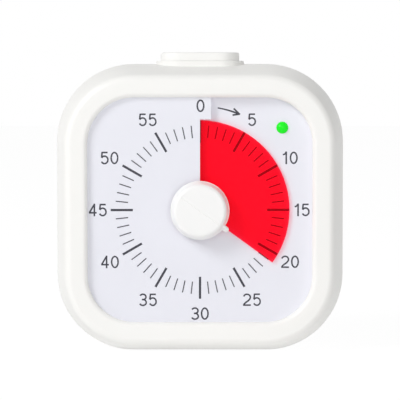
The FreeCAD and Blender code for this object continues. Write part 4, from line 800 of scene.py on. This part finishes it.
NODE_FINISHES = (
    CASE_IVORY,
    Finish("hub_white", (0.84, 0.84, 0.82), 0.5, depth=0.01),
    Finish("shaft_steel", (0.6, 0.6, 0.62), 0.28, metallic=1.0, stretch=(1.0, 12.0, 1.0)),
    Finish("bracket_grey", (0.27, 0.28, 0.3), 0.55, depth=0.03),
    Finish("screw_steel", (0.62, 0.62, 0.64), 0.32, metallic=1.0, drift=0.1),
    Finish("movement_black", (0.012, 0.012, 0.014), 0.5),
    Finish("movement_clear", (0.55, 0.58, 0.62), 0.25, depth=0.01),
    Finish("gear_white", (0.8, 0.8, 0.74), 0.5, depth=0.01),
    Finish("gear_brass", (0.68, 0.46, 0.16), 0.3, metallic=1.0, drift=0.12),
    Finish("spring_steel", (0.5, 0.5, 0.52), 0.3, metallic=1.0, drift=0.1),
    Finish("contact_bronze", (0.66, 0.36, 0.16), 0.35, metallic=1.0, drift=0.12),
    Finish("magnet_dark", (0.03, 0.03, 0.034), 0.7, depth=0.04),
    Finish("stator_iron", (0.4, 0.4, 0.4), 0.45, metallic=1.0, drift=0.14),
    Finish("coil_copper", (0.6, 0.22, 0.07), 0.35, metallic=1.0, stretch=(14.0, 1.0, 1.0)),
    Finish("bobbin_black", (0.015, 0.015, 0.018), 0.5),
    Finish("board_green", (0.01, 0.12, 0.045), 0.35, coat=0.3, drift=0.15),
    Finish("chip_black", (0.012, 0.012, 0.012), 0.6),
    Finish("crystal_can", (0.75, 0.75, 0.75), 0.2, metallic=1.0),
    Finish("capacitor_blue", (0.01, 0.03, 0.18), 0.3),
    Finish("lamp_green", (0.03, 0.6, 0.06), 0.15, coat=0.5, glow=0.3),
    Finish("switch_black", (0.014, 0.014, 0.015), 0.45),
    Finish("buzzer_black", (0.012, 0.012, 0.013), 0.5),
    Finish("cell_jacket", (0.045, 0.05, 0.06), 0.3, coat=0.3, drift=0.05),
    Finish("nickel_plate", (0.66, 0.64, 0.58), 0.25, metallic=1.0, drift=0.08),
)


def dress(piece: Piece, finish: Finish) -> None:
    """Gives a piece one finish all over."""
    piece.data.materials.clear()
    piece.data.materials.append(finish.material())


def fit(name: str, piece: Piece, finish: Finish, body: str, stands_for: Sequence[str] = ()) -> None:
    """Names and dresses a finished piece, sets it on its body and hides the nodes that it replaces.

    Args:
        name: the piece's name.
        piece: the object, in place.
        finish: its finish.
        body: the body that it rides on.
        stands_for: the nodes that it replaces.
    """
    piece.name = name
    dress(piece, finish)
    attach(piece, body)
    if stands_for:
        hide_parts(*stands_for)
    log.info("%s: %d faces, on %s", name, len(piece.data.polygons), body)


@dataclass
class Case:
    """The two moulded shells and the collar round the button."""

    outer: Span = (45.0, 24.3)
    face: Span = (41.18, 21.0)
    face_edge: float = 1.7
    crown: float = 1.8
    crown_steps: int = 5
    opening: Span = (34.65, 14.4)
    lip: float = 1.45
    wall: float = 2.0
    skirt: float = 1.6
    skirt_back: float = -1.5
    back: Span = (44.127, 23.427)
    back_edge: float = 7.0
    seam: float = 0.14
    collar: Span = (27.6, 15.0)
    collar_z: Span = (85.5, 90.38)
    collar_edge: float = 0.45
    bore: Span = (24.9, 12.7)
    bay: Triple = (28.75, 8.6, 38.8)
    bay_depth: float = 15.7
    bay_wall: float = 1.0
    door_ledge: float = 0.75
    door_gap: float = 0.15
    door_sheet: float = 1.8
    finger_radius: float = 5.0
    finger_rise: float = 2.0
    finger_depth: float = 1.1
    screw: Span = (33.0, 27.0)
    column: float = 3.0
    column_gap: float = 0.2
    well: float = 1.95
    well_depth: float = 6.0
    feature_x: float = 20.0
    feature_z: float = 66.0
    slot_rows: int = 2
    slot_half: float = 5.5
    slot_pitch: float = 2.2
    slot_rise: float = 0.5
    slot_corner: float = 0.499
    slot_steps: int = 6
    window: Span = (4.3, 1.4)
    dish: Span = (5.8, 3.6)
    dish_depth: float = 0.8

    def build(self) -> None:
        """Builds and fits both shells."""
        fit("case_front", self.front(), CASE_IVORY, "case", ["front_shell"])
        fit("case_back", self.rear(), CASE_IVORY, "case", ["rear_shell"])

    def add_collar(self, shell: Piece, front: bool) -> None:
        """Adds half of the raised collar to a shell and cuts the button's hole.

        Args:
            shell: the shell.
            front: True for the half in front of the parting plane.
        """
        length, width = self.collar
        low, high = self.collar_z
        piece = pill(self.collar, self.collar_z, self.collar_edge)
        reach = (PARTING_W, PARTING_W + width) if front else (PARTING_W - width, PARTING_W)
        work_in(piece, block((-length, length), reach, (low - PAST, high + PAST)), Join.KEEP)
        work_in(shell, piece, Join.ADD)
        work_in(shell, pill(self.bore, (low - FAR, high + FAR)), Join.CUT)

    def finished(self, shell: Piece) -> Piece:
        """Cuts the narrow flat strip that the timer stands on, and shades the shell."""
        below = block((-self.outer[0], self.outer[0]), (RIM_W + PAST, BACK_W - PAST), (-FAR, 0.0))
        return soften(work_in(shell, below, Join.CUT))

    def crowned(self, share: float) -> Ring:
        """A section of the front half's gently bulged outer wall.

        Args:
            share: how far it lies from the parting plane to the front.

        Returns:
            The section.
        """
        drop = share**self.crown
        half, corner = (wide - (wide - narrow) * drop for wide, narrow in zip(self.outer, self.face))
        return Ring.square((half, corner), PARTING_W + (RIM_W - PARTING_W) * share)

    def front(self) -> Piece:
        """The bezel and front half, from its outer wall in to the skirt behind the opening.

        Returns:
            The front shell.
        """
        inside_w = RIM_W - self.wall
        half, corner = self.face
        slope = (self.outer[0] - half) / (RIM_W - PARTING_W)
        rings = [
            Ring.square(self.outer, PARTING_W, self.seam),
            *(self.crowned(step / self.crown_steps) for step in range(1, self.crown_steps)),
            Ring.square(self.face, RIM_W, self.face_edge),
            Ring.square(self.opening, RIM_W, self.lip),
            Ring.square(self.opening, self.skirt_back),
            Ring.square(self.opening, self.skirt_back, grow=self.skirt),
            Ring.square(self.opening, inside_w, grow=self.skirt),
            Ring.square((half + slope * self.wall, corner), inside_w, grow=-self.wall),
            Ring.square(self.outer, PARTING_W, grow=-self.wall),
        ]
        shell = loft(rings, loop=True)
        self.add_collar(shell, front=True)
        return self.finished(shell)

    def rear(self) -> Piece:
        """The rear half with its battery bay, screw wells, grille and switch window.

        Returns:
            The rear shell.
        """
        rings = [
            Ring.square(self.back, INSIDE_BACK_W, self.back_edge - self.wall, grow=-self.wall),
            Ring.square(self.outer, PARTING_W, grow=-self.wall),
            Ring.square(self.outer, PARTING_W, self.seam),
            Ring.square(self.back, BACK_W, self.back_edge),
        ]
        shell = loft(rings, loop=False)
        self.add_collar(shell, front=False)
        self.add_bay(shell)
        self.add_columns(shell)
        self.cut_grille(shell)
        self.cut_window(shell)
        return self.finished(shell)

    def add_bay(self, shell: Piece) -> None:
        """Adds the battery bay's walls and cuts the bay, the door's seat and a finger notch.

        Args:
            shell: the rear shell.
        """
        half, low, high = self.bay
        front = INSIDE_BACK_W + self.bay_depth
        behind = BACK_W - PAST

        def bay_block(more: float, w: Span) -> Piece:
            """A block as large as the bay and a margin all round."""
            return block((-half - more, half + more), w, (low - more, high + more))

        work_in(shell, bay_block(self.bay_wall, (front + self.bay_wall, INSIDE_BACK_W - ROOT)), Join.ADD)
        work_in(shell, bay_block(0.0, (front, behind)), Join.CUT)
        seat_w = (BACK_W + self.door_sheet + self.door_gap, behind)
        work_in(shell, bay_block(self.door_ledge + self.door_gap, seat_w), Join.CUT)
        finger_z = high + self.door_ledge + self.finger_rise
        finger = rod(self.finger_radius, 0.0, finger_z, (BACK_W + self.finger_depth, behind))
        work_in(shell, finger, Join.CUT)

    def add_columns(self, shell: Piece) -> None:
        """Adds the screw columns with their wells.

        Args:
            shell: the rear shell.
        """
        side, level = self.screw
        for x in (-side, side):
            for z in (DIAL_Z - level, DIAL_Z + level):
                column = rod(self.column, x, z, (PARTING_W - self.column_gap, INSIDE_BACK_W - ROOT))
                work_in(shell, column, Join.ADD)
                work_in(shell, rod(self.well, x, z, (BACK_W + self.well_depth, BACK_W - PAST)), Join.CUT)

    def cut_grille(self, shell: Piece) -> None:
        """Cuts the round-ended slots in front of the buzzer.

        Args:
            shell: the rear shell.
        """
        for row in range(-self.slot_rows, self.slot_rows + 1):
            half = self.slot_half - abs(row)
            z = self.feature_z + row * self.slot_pitch
            ring = Ring(half, self.slot_rise, self.slot_corner, INSIDE_BACK_W + PAST, self.feature_x, z)
            work_in(shell, rounded_block(ring, BACK_W - PAST, self.slot_steps), Join.CUT)

    def cut_window(self, shell: Piece) -> None:
        """Cuts the dished slot of the sound switch.

        Args:
            shell: the rear shell.
        """
        half, rise = self.dish
        x, z = -self.feature_x, self.feature_z
        dish = rounded_block(Ring(half, rise, rise / 2, BACK_W + self.dish_depth, x, z), BACK_W - PAST)
        work_in(shell, dish, Join.CUT)
        half, rise = self.window
        slot = block((x - half, x + half), (INSIDE_BACK_W + PAST, BACK_W - PAST), (z - rise, z + rise))
        work_in(shell, slot, Join.CUT)


@dataclass(frozen=True)
class Digits:
    """Plain upright digits, drawn with a pen of even width."""

    half_x: float = 1.04
    half_z: float = 1.69
    pen: float = 0.5
    sheet: float = 0.06
    pitch: float = 3.05
    oval_step: float = 12.0
    least_steps: int = 8

    def oval(self, z: float, half_x: float, half_z: float, start: float, end: float) -> list[Span]:
        """Points along part of an oval over the digit's middle.

        Args:
            z: height of its middle.
            half_x: half of its width.
            half_z: half of its height.
            start: angle of the first point, in degrees from the right, counted upwards.
            end: angle of the last point.

        Returns:
            The points, in millimetres.
        """
        count = max(self.least_steps, round(abs(end - start) / self.oval_step))
        turns = [math.radians(start + (end - start) * step / count) for step in range(count + 1)]
        return [(half_x * math.cos(turn), z + half_z * math.sin(turn)) for turn in turns]

    def strokes(self, digit: int) -> list[list[Span]]:
        """The pen lines of one digit.

        Args:
            digit: a digit from 0 to 5.

        Returns:
            The points of each line, in millimetres from the digit's middle.
        """
        a, b = self.half_x, self.half_z
        tip = b + self.pen / 2
        shapes = {
            0: [self.oval(0.0, a * 0.96, b, 90.0, 450.0)],
            1: [[(0.75, -tip), (0.75, tip)], [(-0.3, 0.98), (0.15, 1.08), (0.48, 1.36), (0.68, 1.8)]],
            2: [
                self.oval(b - 0.95, a, 0.95, 165.0, -30.0) + [(0.45, -0.3), (-0.35, -0.85), (-0.9, -1.35), (-a, -b)],
                [(-a - 0.18, -b), (a + 0.15, -b)],
            ],
            3: [
                self.oval(0.89, 0.95, 0.84, 155.0, -75.0) + [(-0.3, 0.07)],
                [(-0.3, 0.07)] + self.oval(-0.82, a, 0.91, 75.0, -155.0),
            ],
            4: [[(0.5, -tip), (0.5, tip)], [(-a - 0.12, -0.85), (a + 0.15, -0.85)], [(0.45, b), (-a, -0.85)]],
            5: [
                [(-0.72, b), (0.95, b)],
                [(-0.7, b + 0.18), (-0.9, 0.1)],
                [(-0.9, 0.05)] + self.oval(-0.58, a, 1.15, 138.0, -152.0),
            ],
        }
        return shapes[digit]

    def line(self, points: Sequence[Span]) -> Piece:
        """One closed pen line, drawn flat on the ground plane.

        Args:
            points: the line's corners.

        Returns:
            The line.
        """
        piece = wire([Vector((x, z, 0.0)) * MM for x, z in points])
        with editing(piece):
            weld()
        take(piece)
        bpy.ops.object.convert(target="CURVE")
        curve = bpy.context.object.data
        curve.bevel_depth = self.pen / 2 * MM
        curve.bevel_resolution = 1
        curve.use_fill_caps = True
        bpy.ops.object.convert(target="MESH")
        piece = bpy.context.object
        piece.scale = (1.0, 1.0, self.sheet / self.pen)
        return recalculate(apply_place(piece))

    def number(self, minutes: int) -> Piece:
        """A number of one or two digits, flat on the ground plane and centred there.

        Args:
            minutes: the number.

        Returns:
            The number.
        """
        made = []
        for place, letter in enumerate(str(minutes)):
            for points in self.strokes(int(letter)):
                made.append(self.line([(x + place * self.pitch, z) for x, z in points]))
        piece = merge(made)
        sides = [vertex.co.x for vertex in piece.data.vertices]
        piece.location.x = -(min(sides) + max(sides)) / 2
        return apply_place(piece)


@dataclass
class Dial:
    """The ramp dial, its print and the red film that slides out over it."""

    size: Span = (37.3, 16.0)
    radii: Span = (5.2, 60.0)
    slit: float = 27.9
    tab: Span = (-0.02, 3.4)
    window_radius: float = 1.85
    steps: int = 180
    print_lift: float = 0.02
    print_sheet: float = 0.03
    long_tick: Triple = (20.7, 27.5, 0.7)
    short_tick: Triple = (22.3, 26.1, 0.32)
    digits: Digits = field(default_factory=Digits)
    arrow_tail: Triple = (31.9, 10.0, 0.38)
    arrow_tip: Triple = (31.9, 22.4, 0.58)
    arrow_barbs: tuple[Span, ...] = ((10.47, 31.17), (10.16, 29.23))
    arrow_steps: int = 10
    barb_share: float = 0.9
    numeral_radius: float = 32.1
    level_radius: float = 31.5
    zero_shift: float = 0.15
    film_radii: Span = (4.2, 27.6)
    film_sheet: float = 0.3
    film_lift: float = 1.0
    film_extent: float = 357.0

    def build(self) -> None:
        """Builds and fits the dial, the print and the film."""
        fit("dial_face", self.plate(), DIAL_WHITE, "case", ["dial_plate"])
        prints = {"scale_ticks": self.ticks, "scale_numbers": self.numerals, "turn_arrow": self.arrow}
        for name, build in prints.items():
            fit(name, build(), PRINT_SLATE, "case")
        fit("red_film", self.film(), FILM_RED, "disc", ["time_disc"])

    def plate(self) -> Piece:
        """The ramp with its radial slit, the lens's hole and the raised tab at 12 o'clock.

        Returns:
            The dial.
        """
        plate = helicoid(self.radii, (0.0, 360.0), 0.0, DIAL_SHEET, self.steps)
        outline = rounded_block(Ring.square(self.size, FAR), -FAR, ARC_STEPS)
        work_in(plate, outline, Join.KEEP)
        depths = (RAMP_PITCH + DIAL_SHEET / 2, -DIAL_SHEET / 2)
        work_in(plate, block(self.tab, depths, (DIAL_Z + self.slit, DIAL_Z + self.size[0])), Join.ADD)
        window = rod(self.window_radius, LAMP_OFFSET, DIAL_Z + LAMP_OFFSET, (FAR, -FAR))
        return soften(work_in(plate, window, Join.CUT))

    def mark(self, width: float, z: Span) -> Piece:
        """An upright printed mark at the side's middle and the depth of the dial's low edge.

        Args:
            width: its width.
            z: its lower and upper end, from the dial's axis.

        Returns:
            The mark.
        """
        low = DIAL_SHEET / 2 - self.print_lift
        high = low + self.print_lift + self.print_sheet
        return block((-width / 2, width / 2), (high, low), (DIAL_Z + z[0], DIAL_Z + z[1]))

    def ticks(self) -> Piece:
        """The sixty ticks of the scale, long ones every five minutes.

        Returns:
            The ticks as one piece.
        """
        sizes = {True: self.long_tick, False: self.short_tick}
        patterns = {long: self.mark(width, (inner, outer)) for long, (inner, outer, width) in sizes.items()}
        made = []
        for minute in range(60):
            angle = minute * MINUTE_ANGLE
            take(patterns[minute % 5 == 0])
            bpy.ops.object.duplicate(linked=False)
            made.append(turn_on_dial(bpy.context.object, angle, FORWARD * (ramp(angle) * MM)))
        for pattern in patterns.values():
            bpy.data.objects.remove(pattern)
        return merge(made)

    def numeral(self, minutes: int) -> Piece:
        """One upright number, laid on the ramp.

        Args:
            minutes: the number to print.

        Returns:
            The number.
        """
        piece = self.digits.number(minutes)
        angle = minutes * MINUTE_ANGLE
        radius = self.level_radius if minutes in (15, 45) else self.numeral_radius
        tilt = math.atan(RAMP_PITCH / (math.tau * radius)) if minutes else 0.0
        surface = ramp(angle if minutes else 360.0) + DIAL_SHEET / 2
        place = on_dial(radius, angle, surface)
        if not minutes:
            place.x += self.zero_shift * MM
        radial = (on_dial(1.0, angle, 0.0) - on_dial(0.0, angle, 0.0)).normalized()
        upright = Matrix.Rotation(math.pi / 2, 4, "X")
        piece.matrix_world = Matrix.Translation(place) @ Matrix.Rotation(-tilt, 4, radial) @ upright
        return apply_place(piece)

    def numerals(self) -> Piece:
        """The twelve numbers of the scale."""
        return merge([self.numeral(minutes) for minutes in range(0, 60, 5)])

    def bar(self, start: Span, end: Span, thick: float) -> Piece:
        """One straight printed bar between two places on the dial.

        Args:
            start: side and height of one end from the dial's middle.
            end: side and height of the other end.
            thick: its width.

        Returns:
            The bar.
        """
        across, rise = end[0] - start[0], end[1] - start[1]
        side, level = (start[0] + end[0]) / 2, (start[1] + end[1]) / 2
        reach = (math.hypot(across, rise) + thick / 2) / 2
        bar = self.mark(thick, (-reach, reach))
        climb = ramp(math.degrees(math.atan2(side, level)) % 360.0)
        return turn_on_dial(bar, math.degrees(math.atan2(across, rise)), Vector((side, -climb, level)) * MM)

    def arrow(self) -> Piece:
        """The small curved arrow, with an open head, that shows which way the knob turns.

        Returns:
            The arrow.
        """
        path = []
        for index in range(self.arrow_steps + 1):
            share = index / self.arrow_steps
            ends = zip(self.arrow_tail, self.arrow_tip)
            radius, angle, thick = (near + (far - near) * share for near, far in ends)
            turn = math.radians(angle)
            path.append(((radius * math.sin(turn), radius * math.cos(turn)), thick))
        made = [self.bar(near, far, thick) for (near, thick), (far, _) in zip(path, path[1:])]
        tip, thick = path[-1]
        made += [self.bar(tip, barb, thick * self.barb_share) for barb in self.arrow_barbs]
        return merge(made)

    def film(self) -> Piece:
        """The red film, partly out over the dial and partly behind it.

        Returns:
            The film.
        """
        angles = (REST_ANGLE - self.film_extent, REST_ANGLE)
        film = helicoid(self.film_radii, angles, self.film_lift, self.film_sheet, self.steps)
        return soften(film, weighted=False)


@dataclass
class Knob:
    """The setting knob with its pointer nub and the groove across its face."""

    base: float = 9.05
    face: float = 8.0
    step: float = 0.16
    back: float = 3.4
    flange: float = 0.9
    flange_round: float = 0.2
    rim_band: float = 0.1
    rim_steps: int = 3
    body_steps: int = 128
    hollow_steps: int = 96
    front: float = 7.6
    round_face: float = 1.0
    nub_reach: float = 10.7
    nub_root: float = 1.6
    nub_width: float = 1.7
    nub_height: float = 1.9
    nub_corner: float = 0.833
    nub_round: float = 0.4
    groove_width: float = 0.7
    groove_depth: float = 0.14
    groove_point: float = 0.02
    wall: float = 1.4
    face_wall: float = 1.2
    boss: float = 3.5
    boss_relief: float = 0.6
    shaft: float = 2.02

    def build(self) -> None:
        """Builds and fits the knob."""
        fit("knob_body", self.body(), KNOB_WHITE, "knob", ["setting_knob"])

    def body(self) -> Piece:
        """The round body: a flange, then a drafted wall up to the rounded face.

        Returns:
            The knob.
        """
        step_w = self.back + self.flange
        piece = rod(self.base, 0.0, DIAL_Z, (step_w, self.back), self.body_steps)
        on_step = at_depth(step_w)
        reach = (self.base - self.rim_band) * MM
        with editing(piece):
            choose(piece, Pick.FACES, lambda _, n: n.dot(FORWARD) > ALONG)
            bpy.ops.mesh.inset(thickness=self.step * MM, depth=0.0)
            wall = FORWARD * ((self.front - step_w) * MM)
            bpy.ops.mesh.extrude_region_move(TRANSFORM_OT_translate={"value": wall})
            draft = self.face / (self.base - self.step)
            bpy.ops.transform.resize(value=(draft, 1.0, draft), center_override=at(0.0, step_w, DIAL_Z))
            round_over(piece, self.round_face, at_depth(self.front))
            round_over(
                piece,
                self.flange_round,
                lambda m, d: on_step(m, d) and math.hypot(m.x, m.z - DIAL_Z * MM) > reach,
                self.rim_steps,
            )
        work_in(piece, self.nub(), Join.ADD)
        work_in(piece, self.groove(), Join.CUT)
        return soften(work_in(piece, self.hollow(), Join.CUT))

    def hollow(self) -> Piece:
        """The room behind the face, round a boss, that the disc's hub climbs into.

        Returns:
            The tool that cuts it.
        """
        inside = self.front - self.face_wall
        behind = self.back - PAST
        room = rod(self.base - self.wall, 0.0, DIAL_Z, (inside, behind), self.hollow_steps)
        boss = rod(self.boss, 0.0, DIAL_Z, (inside + PAST, self.back + self.boss_relief))
        work_in(room, boss, Join.CUT)
        return work_in(room, rod(self.shaft, 0.0, DIAL_Z, (inside, behind)), Join.ADD)

    def nub(self) -> Piece:
        """The pointer nub beside the body.

        Returns:
            The nub.
        """
        half = self.nub_width / 2
        inner = self.base - self.nub_root
        middle, length = (inner + self.nub_reach) / 2, self.nub_reach - inner
        top = self.back + self.nub_height
        ring = Ring(half, length / 2, self.nub_corner, top, z=DIAL_Z + middle, round_edge=self.nub_round)
        return turn_on_dial(rounded_block(ring, self.back), REST_ANGLE)

    def groove(self) -> Piece:
        """The V groove across the face, in line with the nub.

        Returns:
            The tool that cuts it.
        """
        half = self.groove_width / 2
        low, high = self.front - self.groove_depth, self.front + self.groove_depth
        tool = block((-half, half), (high, low), (DIAL_Z - self.base, DIAL_Z + self.base))
        at_bottom = at_depth(low)
        with editing(tool):
            choose(tool, Pick.EDGES, lambda m, d: at_bottom(m, d) and abs(d.z) > ALONG)
            bpy.ops.transform.resize(value=(self.groove_point, 1.0, 1.0), center_override=at(0.0, 0.0, DIAL_Z))
        return turn_on_dial(tool, REST_ANGLE)


@dataclass
class Lens:
    """The green window of the lamp."""

    angle: float = 45.0
    radius: float = 1.7
    top: float = 1.7
    dome: float = 2.0
    flange: float = 2.3
    flange_sheet: float = 0.7
    flange_gap: float = 0.06
    arc_steps: int = 10

    def build(self) -> None:
        """Builds and fits the lens."""
        step_turn = math.asin(self.radius / self.dome) / self.arc_steps
        middle = self.top - self.dome
        turns = [step_turn * step for step in range(self.arc_steps + 1)]
        arc = [(self.dome * math.sin(turn), middle + self.dome * math.cos(turn)) for turn in turns]
        seat = ramp(self.angle) - DIAL_SHEET / 2 - self.flange_gap
        back = seat - self.flange_sheet
        rim = [(self.radius, seat), (self.flange, seat), (self.flange, back), (0.0, back)]
        lens = turned(arc + rim, LAMP_OFFSET, DIAL_Z + LAMP_OFFSET)
        fit("lamp_lens", soften(lens, weighted=False), LENS_GREEN, "case", ["indicator_lens"])


@dataclass
class Button:
    """The long top button."""

    length: float = 24.6
    width: float = 12.4
    top: float = 92.98
    low: float = 84.25
    wall: float = 1.5
    edge: float = 0.7
    flange_top: float = 85.45
    flange_reach: float = 1.2

    def build(self) -> None:
        """Builds and fits the button."""
        cap = pill(self.grown(0.0), (self.low, self.top), self.edge)
        work_in(cap, pill(self.grown(self.flange_reach), (self.low, self.flange_top)), Join.ADD)
        hollow = pill(self.grown(-self.wall), (self.low - PAST, self.top - self.wall))
        work_in(cap, hollow, Join.CUT)
        fit("button_cap", soften(cap), BUTTON_WHITE, "button", ["top_button"])

    def grown(self, more: float) -> Span:
        """Its length and width, grown by a margin all round."""
        return self.length + 2 * more, self.width + 2 * more


class Inside:
    """Everything that keeps its CAD shape and gets a finish of its own."""

    def build(self) -> None:
        """Dresses each CAD node that is still shown."""
        slots = {part["node"]: part["material_slot"] for part in frame["record"]["subparts"]}
        finishes = {finish.name: finish for finish in NODE_FINISHES}
        shown = {name: node for name, node in frame["nodes"].items() if not node.hide_render}
        for name, node in shown.items():
            dress(node, finishes[slots[name]])
        log.info("dressed %d nodes", len(shown))


@dataclass
class Studio:
    """Floor, light and camera. The lamps' and the floor's sizes and places are metres."""

    distance: float = 665.0
    scale: float = 0.307
    pixels: int = 400
    elevation: float = 3.3
    aim_z: float = 47.6
    clip: Span = (0.01, 20.0)
    fill: float = 0.385
    key: float = 9.5
    key_size: float = 0.55
    key_place: Triple = (-0.92, -0.78, 0.86)
    front: float = 3.75
    front_size: float = 0.9
    front_place: Triple = (0.15, -1.3, 0.25)
    floor_size: float = 6.0
    floor_tone: float = 0.95
    floor_roughness: float = 0.8
    floor_glow: float = 1.06
    shine: float = 0.88
    bounce: float = 0.25

    def build(self) -> None:
        """Builds the floor, the lights and the camera."""
        self.floor()
        self.world()
        self.lamp("key", Vector(self.key_place), self.key_size, self.key)
        self.lamp("front", Vector(self.front_place), self.front_size, self.front)
        self.camera()

    def floor(self) -> None:
        """A pale floor that keeps a faint shadow and lifts the timer's underside a little."""
        release()
        bpy.ops.mesh.primitive_plane_add(size=self.floor_size)
        floor = bpy.context.object
        floor.name = "floor"
        floor.data.materials.append(new_material("pale_floor", self.floor_surface))

    def floor_surface(self, tree: Tree) -> Socket:
        """Mixes a matt floor with a glow, which the camera sees most of.

        Args:
            tree: the floor material's nodes.

        Returns:
            The mixed surface.
        """
        tone = (*[self.floor_tone] * 3, 1.0)
        matt = add_node(tree, "ShaderNodeBsdfPrincipled", {"Base Color": tone, "Roughness": self.floor_roughness})
        glow = add_node(tree, "ShaderNodeEmission", {"Strength": self.floor_glow})
        share = reckon(tree, "MAXIMUM", reckon(tree, "MULTIPLY", self.seen(tree), self.shine), self.bounce)
        inputs = {"Fac": share, 1: matt.outputs["BSDF"], 2: glow.outputs["Emission"]}
        return add_node(tree, "ShaderNodeMixShader", inputs).outputs["Shader"]

    def seen(self, tree: Tree) -> Socket:
        """One for rays from the camera, from gloss and through glass, else zero.

        Args:
            tree: the nodes to add to.

        Returns:
            The socket that carries it.
        """
        path = add_node(tree, "ShaderNodeLightPath", {}).outputs
        direct = reckon(tree, "MAXIMUM", path["Is Camera Ray"], path["Is Glossy Ray"])
        return reckon(tree, "MAXIMUM", direct, path["Is Transmission Ray"])

    def world(self) -> None:
        """Even light from all round, and white where the camera looks past the timer."""
        world = bpy.data.worlds.new("studio")
        bpy.context.scene.world = world
        world.use_nodes = True
        tree = world.node_tree
        background = tree.nodes["Background"]
        background.inputs["Color"].default_value = (1.0, 1.0, 1.0, 1.0)
        inputs = {"Value": self.seen(tree), "To Min": self.fill, "To Max": 1.0}
        level = add_node(tree, "ShaderNodeMapRange", inputs)
        tree.links.new(level.outputs["Result"], background.inputs["Strength"])

    def lamp(self, name: str, place: Vector, size: float, power: float) -> None:
        """A square soft lamp that points at the dial.

        Args:
            name: the lamp's name.
            place: where it stands, in metres.
            size: its side in metres.
            power: watts.
        """
        data = bpy.data.lights.new(name, "AREA")
        data.shape = "SQUARE"
        data.size = size
        data.energy = power
        lamp = bpy.data.objects.new(name, data)
        bpy.context.scene.collection.objects.link(lamp)
        lamp.location = place
        target = at(0.0, 0.0, DIAL_Z)
        lamp.rotation_euler = (target - place).to_track_quat("-Z", "Y").to_euler()

    def camera(self) -> None:
        """The camera at the photograph's angle and framing."""
        data = bpy.data.cameras.new("camera")
        data.lens = data.sensor_width * self.distance / (self.scale * self.pixels)
        data.clip_start, data.clip_end = self.clip
        camera = bpy.data.objects.new("camera", data)
        bpy.context.scene.collection.objects.link(camera)
        rise = math.radians(self.elevation)
        back = Vector((0.0, -math.cos(rise), math.sin(rise)))
        camera.location = at(0.0, RIM_W, self.aim_z) + back * (self.distance * MM)
        camera.rotation_euler = (-back).to_track_quat("-Z", "Y").to_euler()
        bpy.context.scene.camera = camera


def main() -> None:
    """Builds every part of the timer and the studio round it."""
    logging.basicConfig(level=logging.INFO, format="%(message)s")
    bpy.context.scene.view_settings.view_transform = "Standard"
    for part in (Case(), Dial(), Knob(), Lens(), Button(), Inside(), Studio()):
        part.build()
        log.info("%s done", type(part).__name__)
    release()


if __name__ == "__main__":
    main()
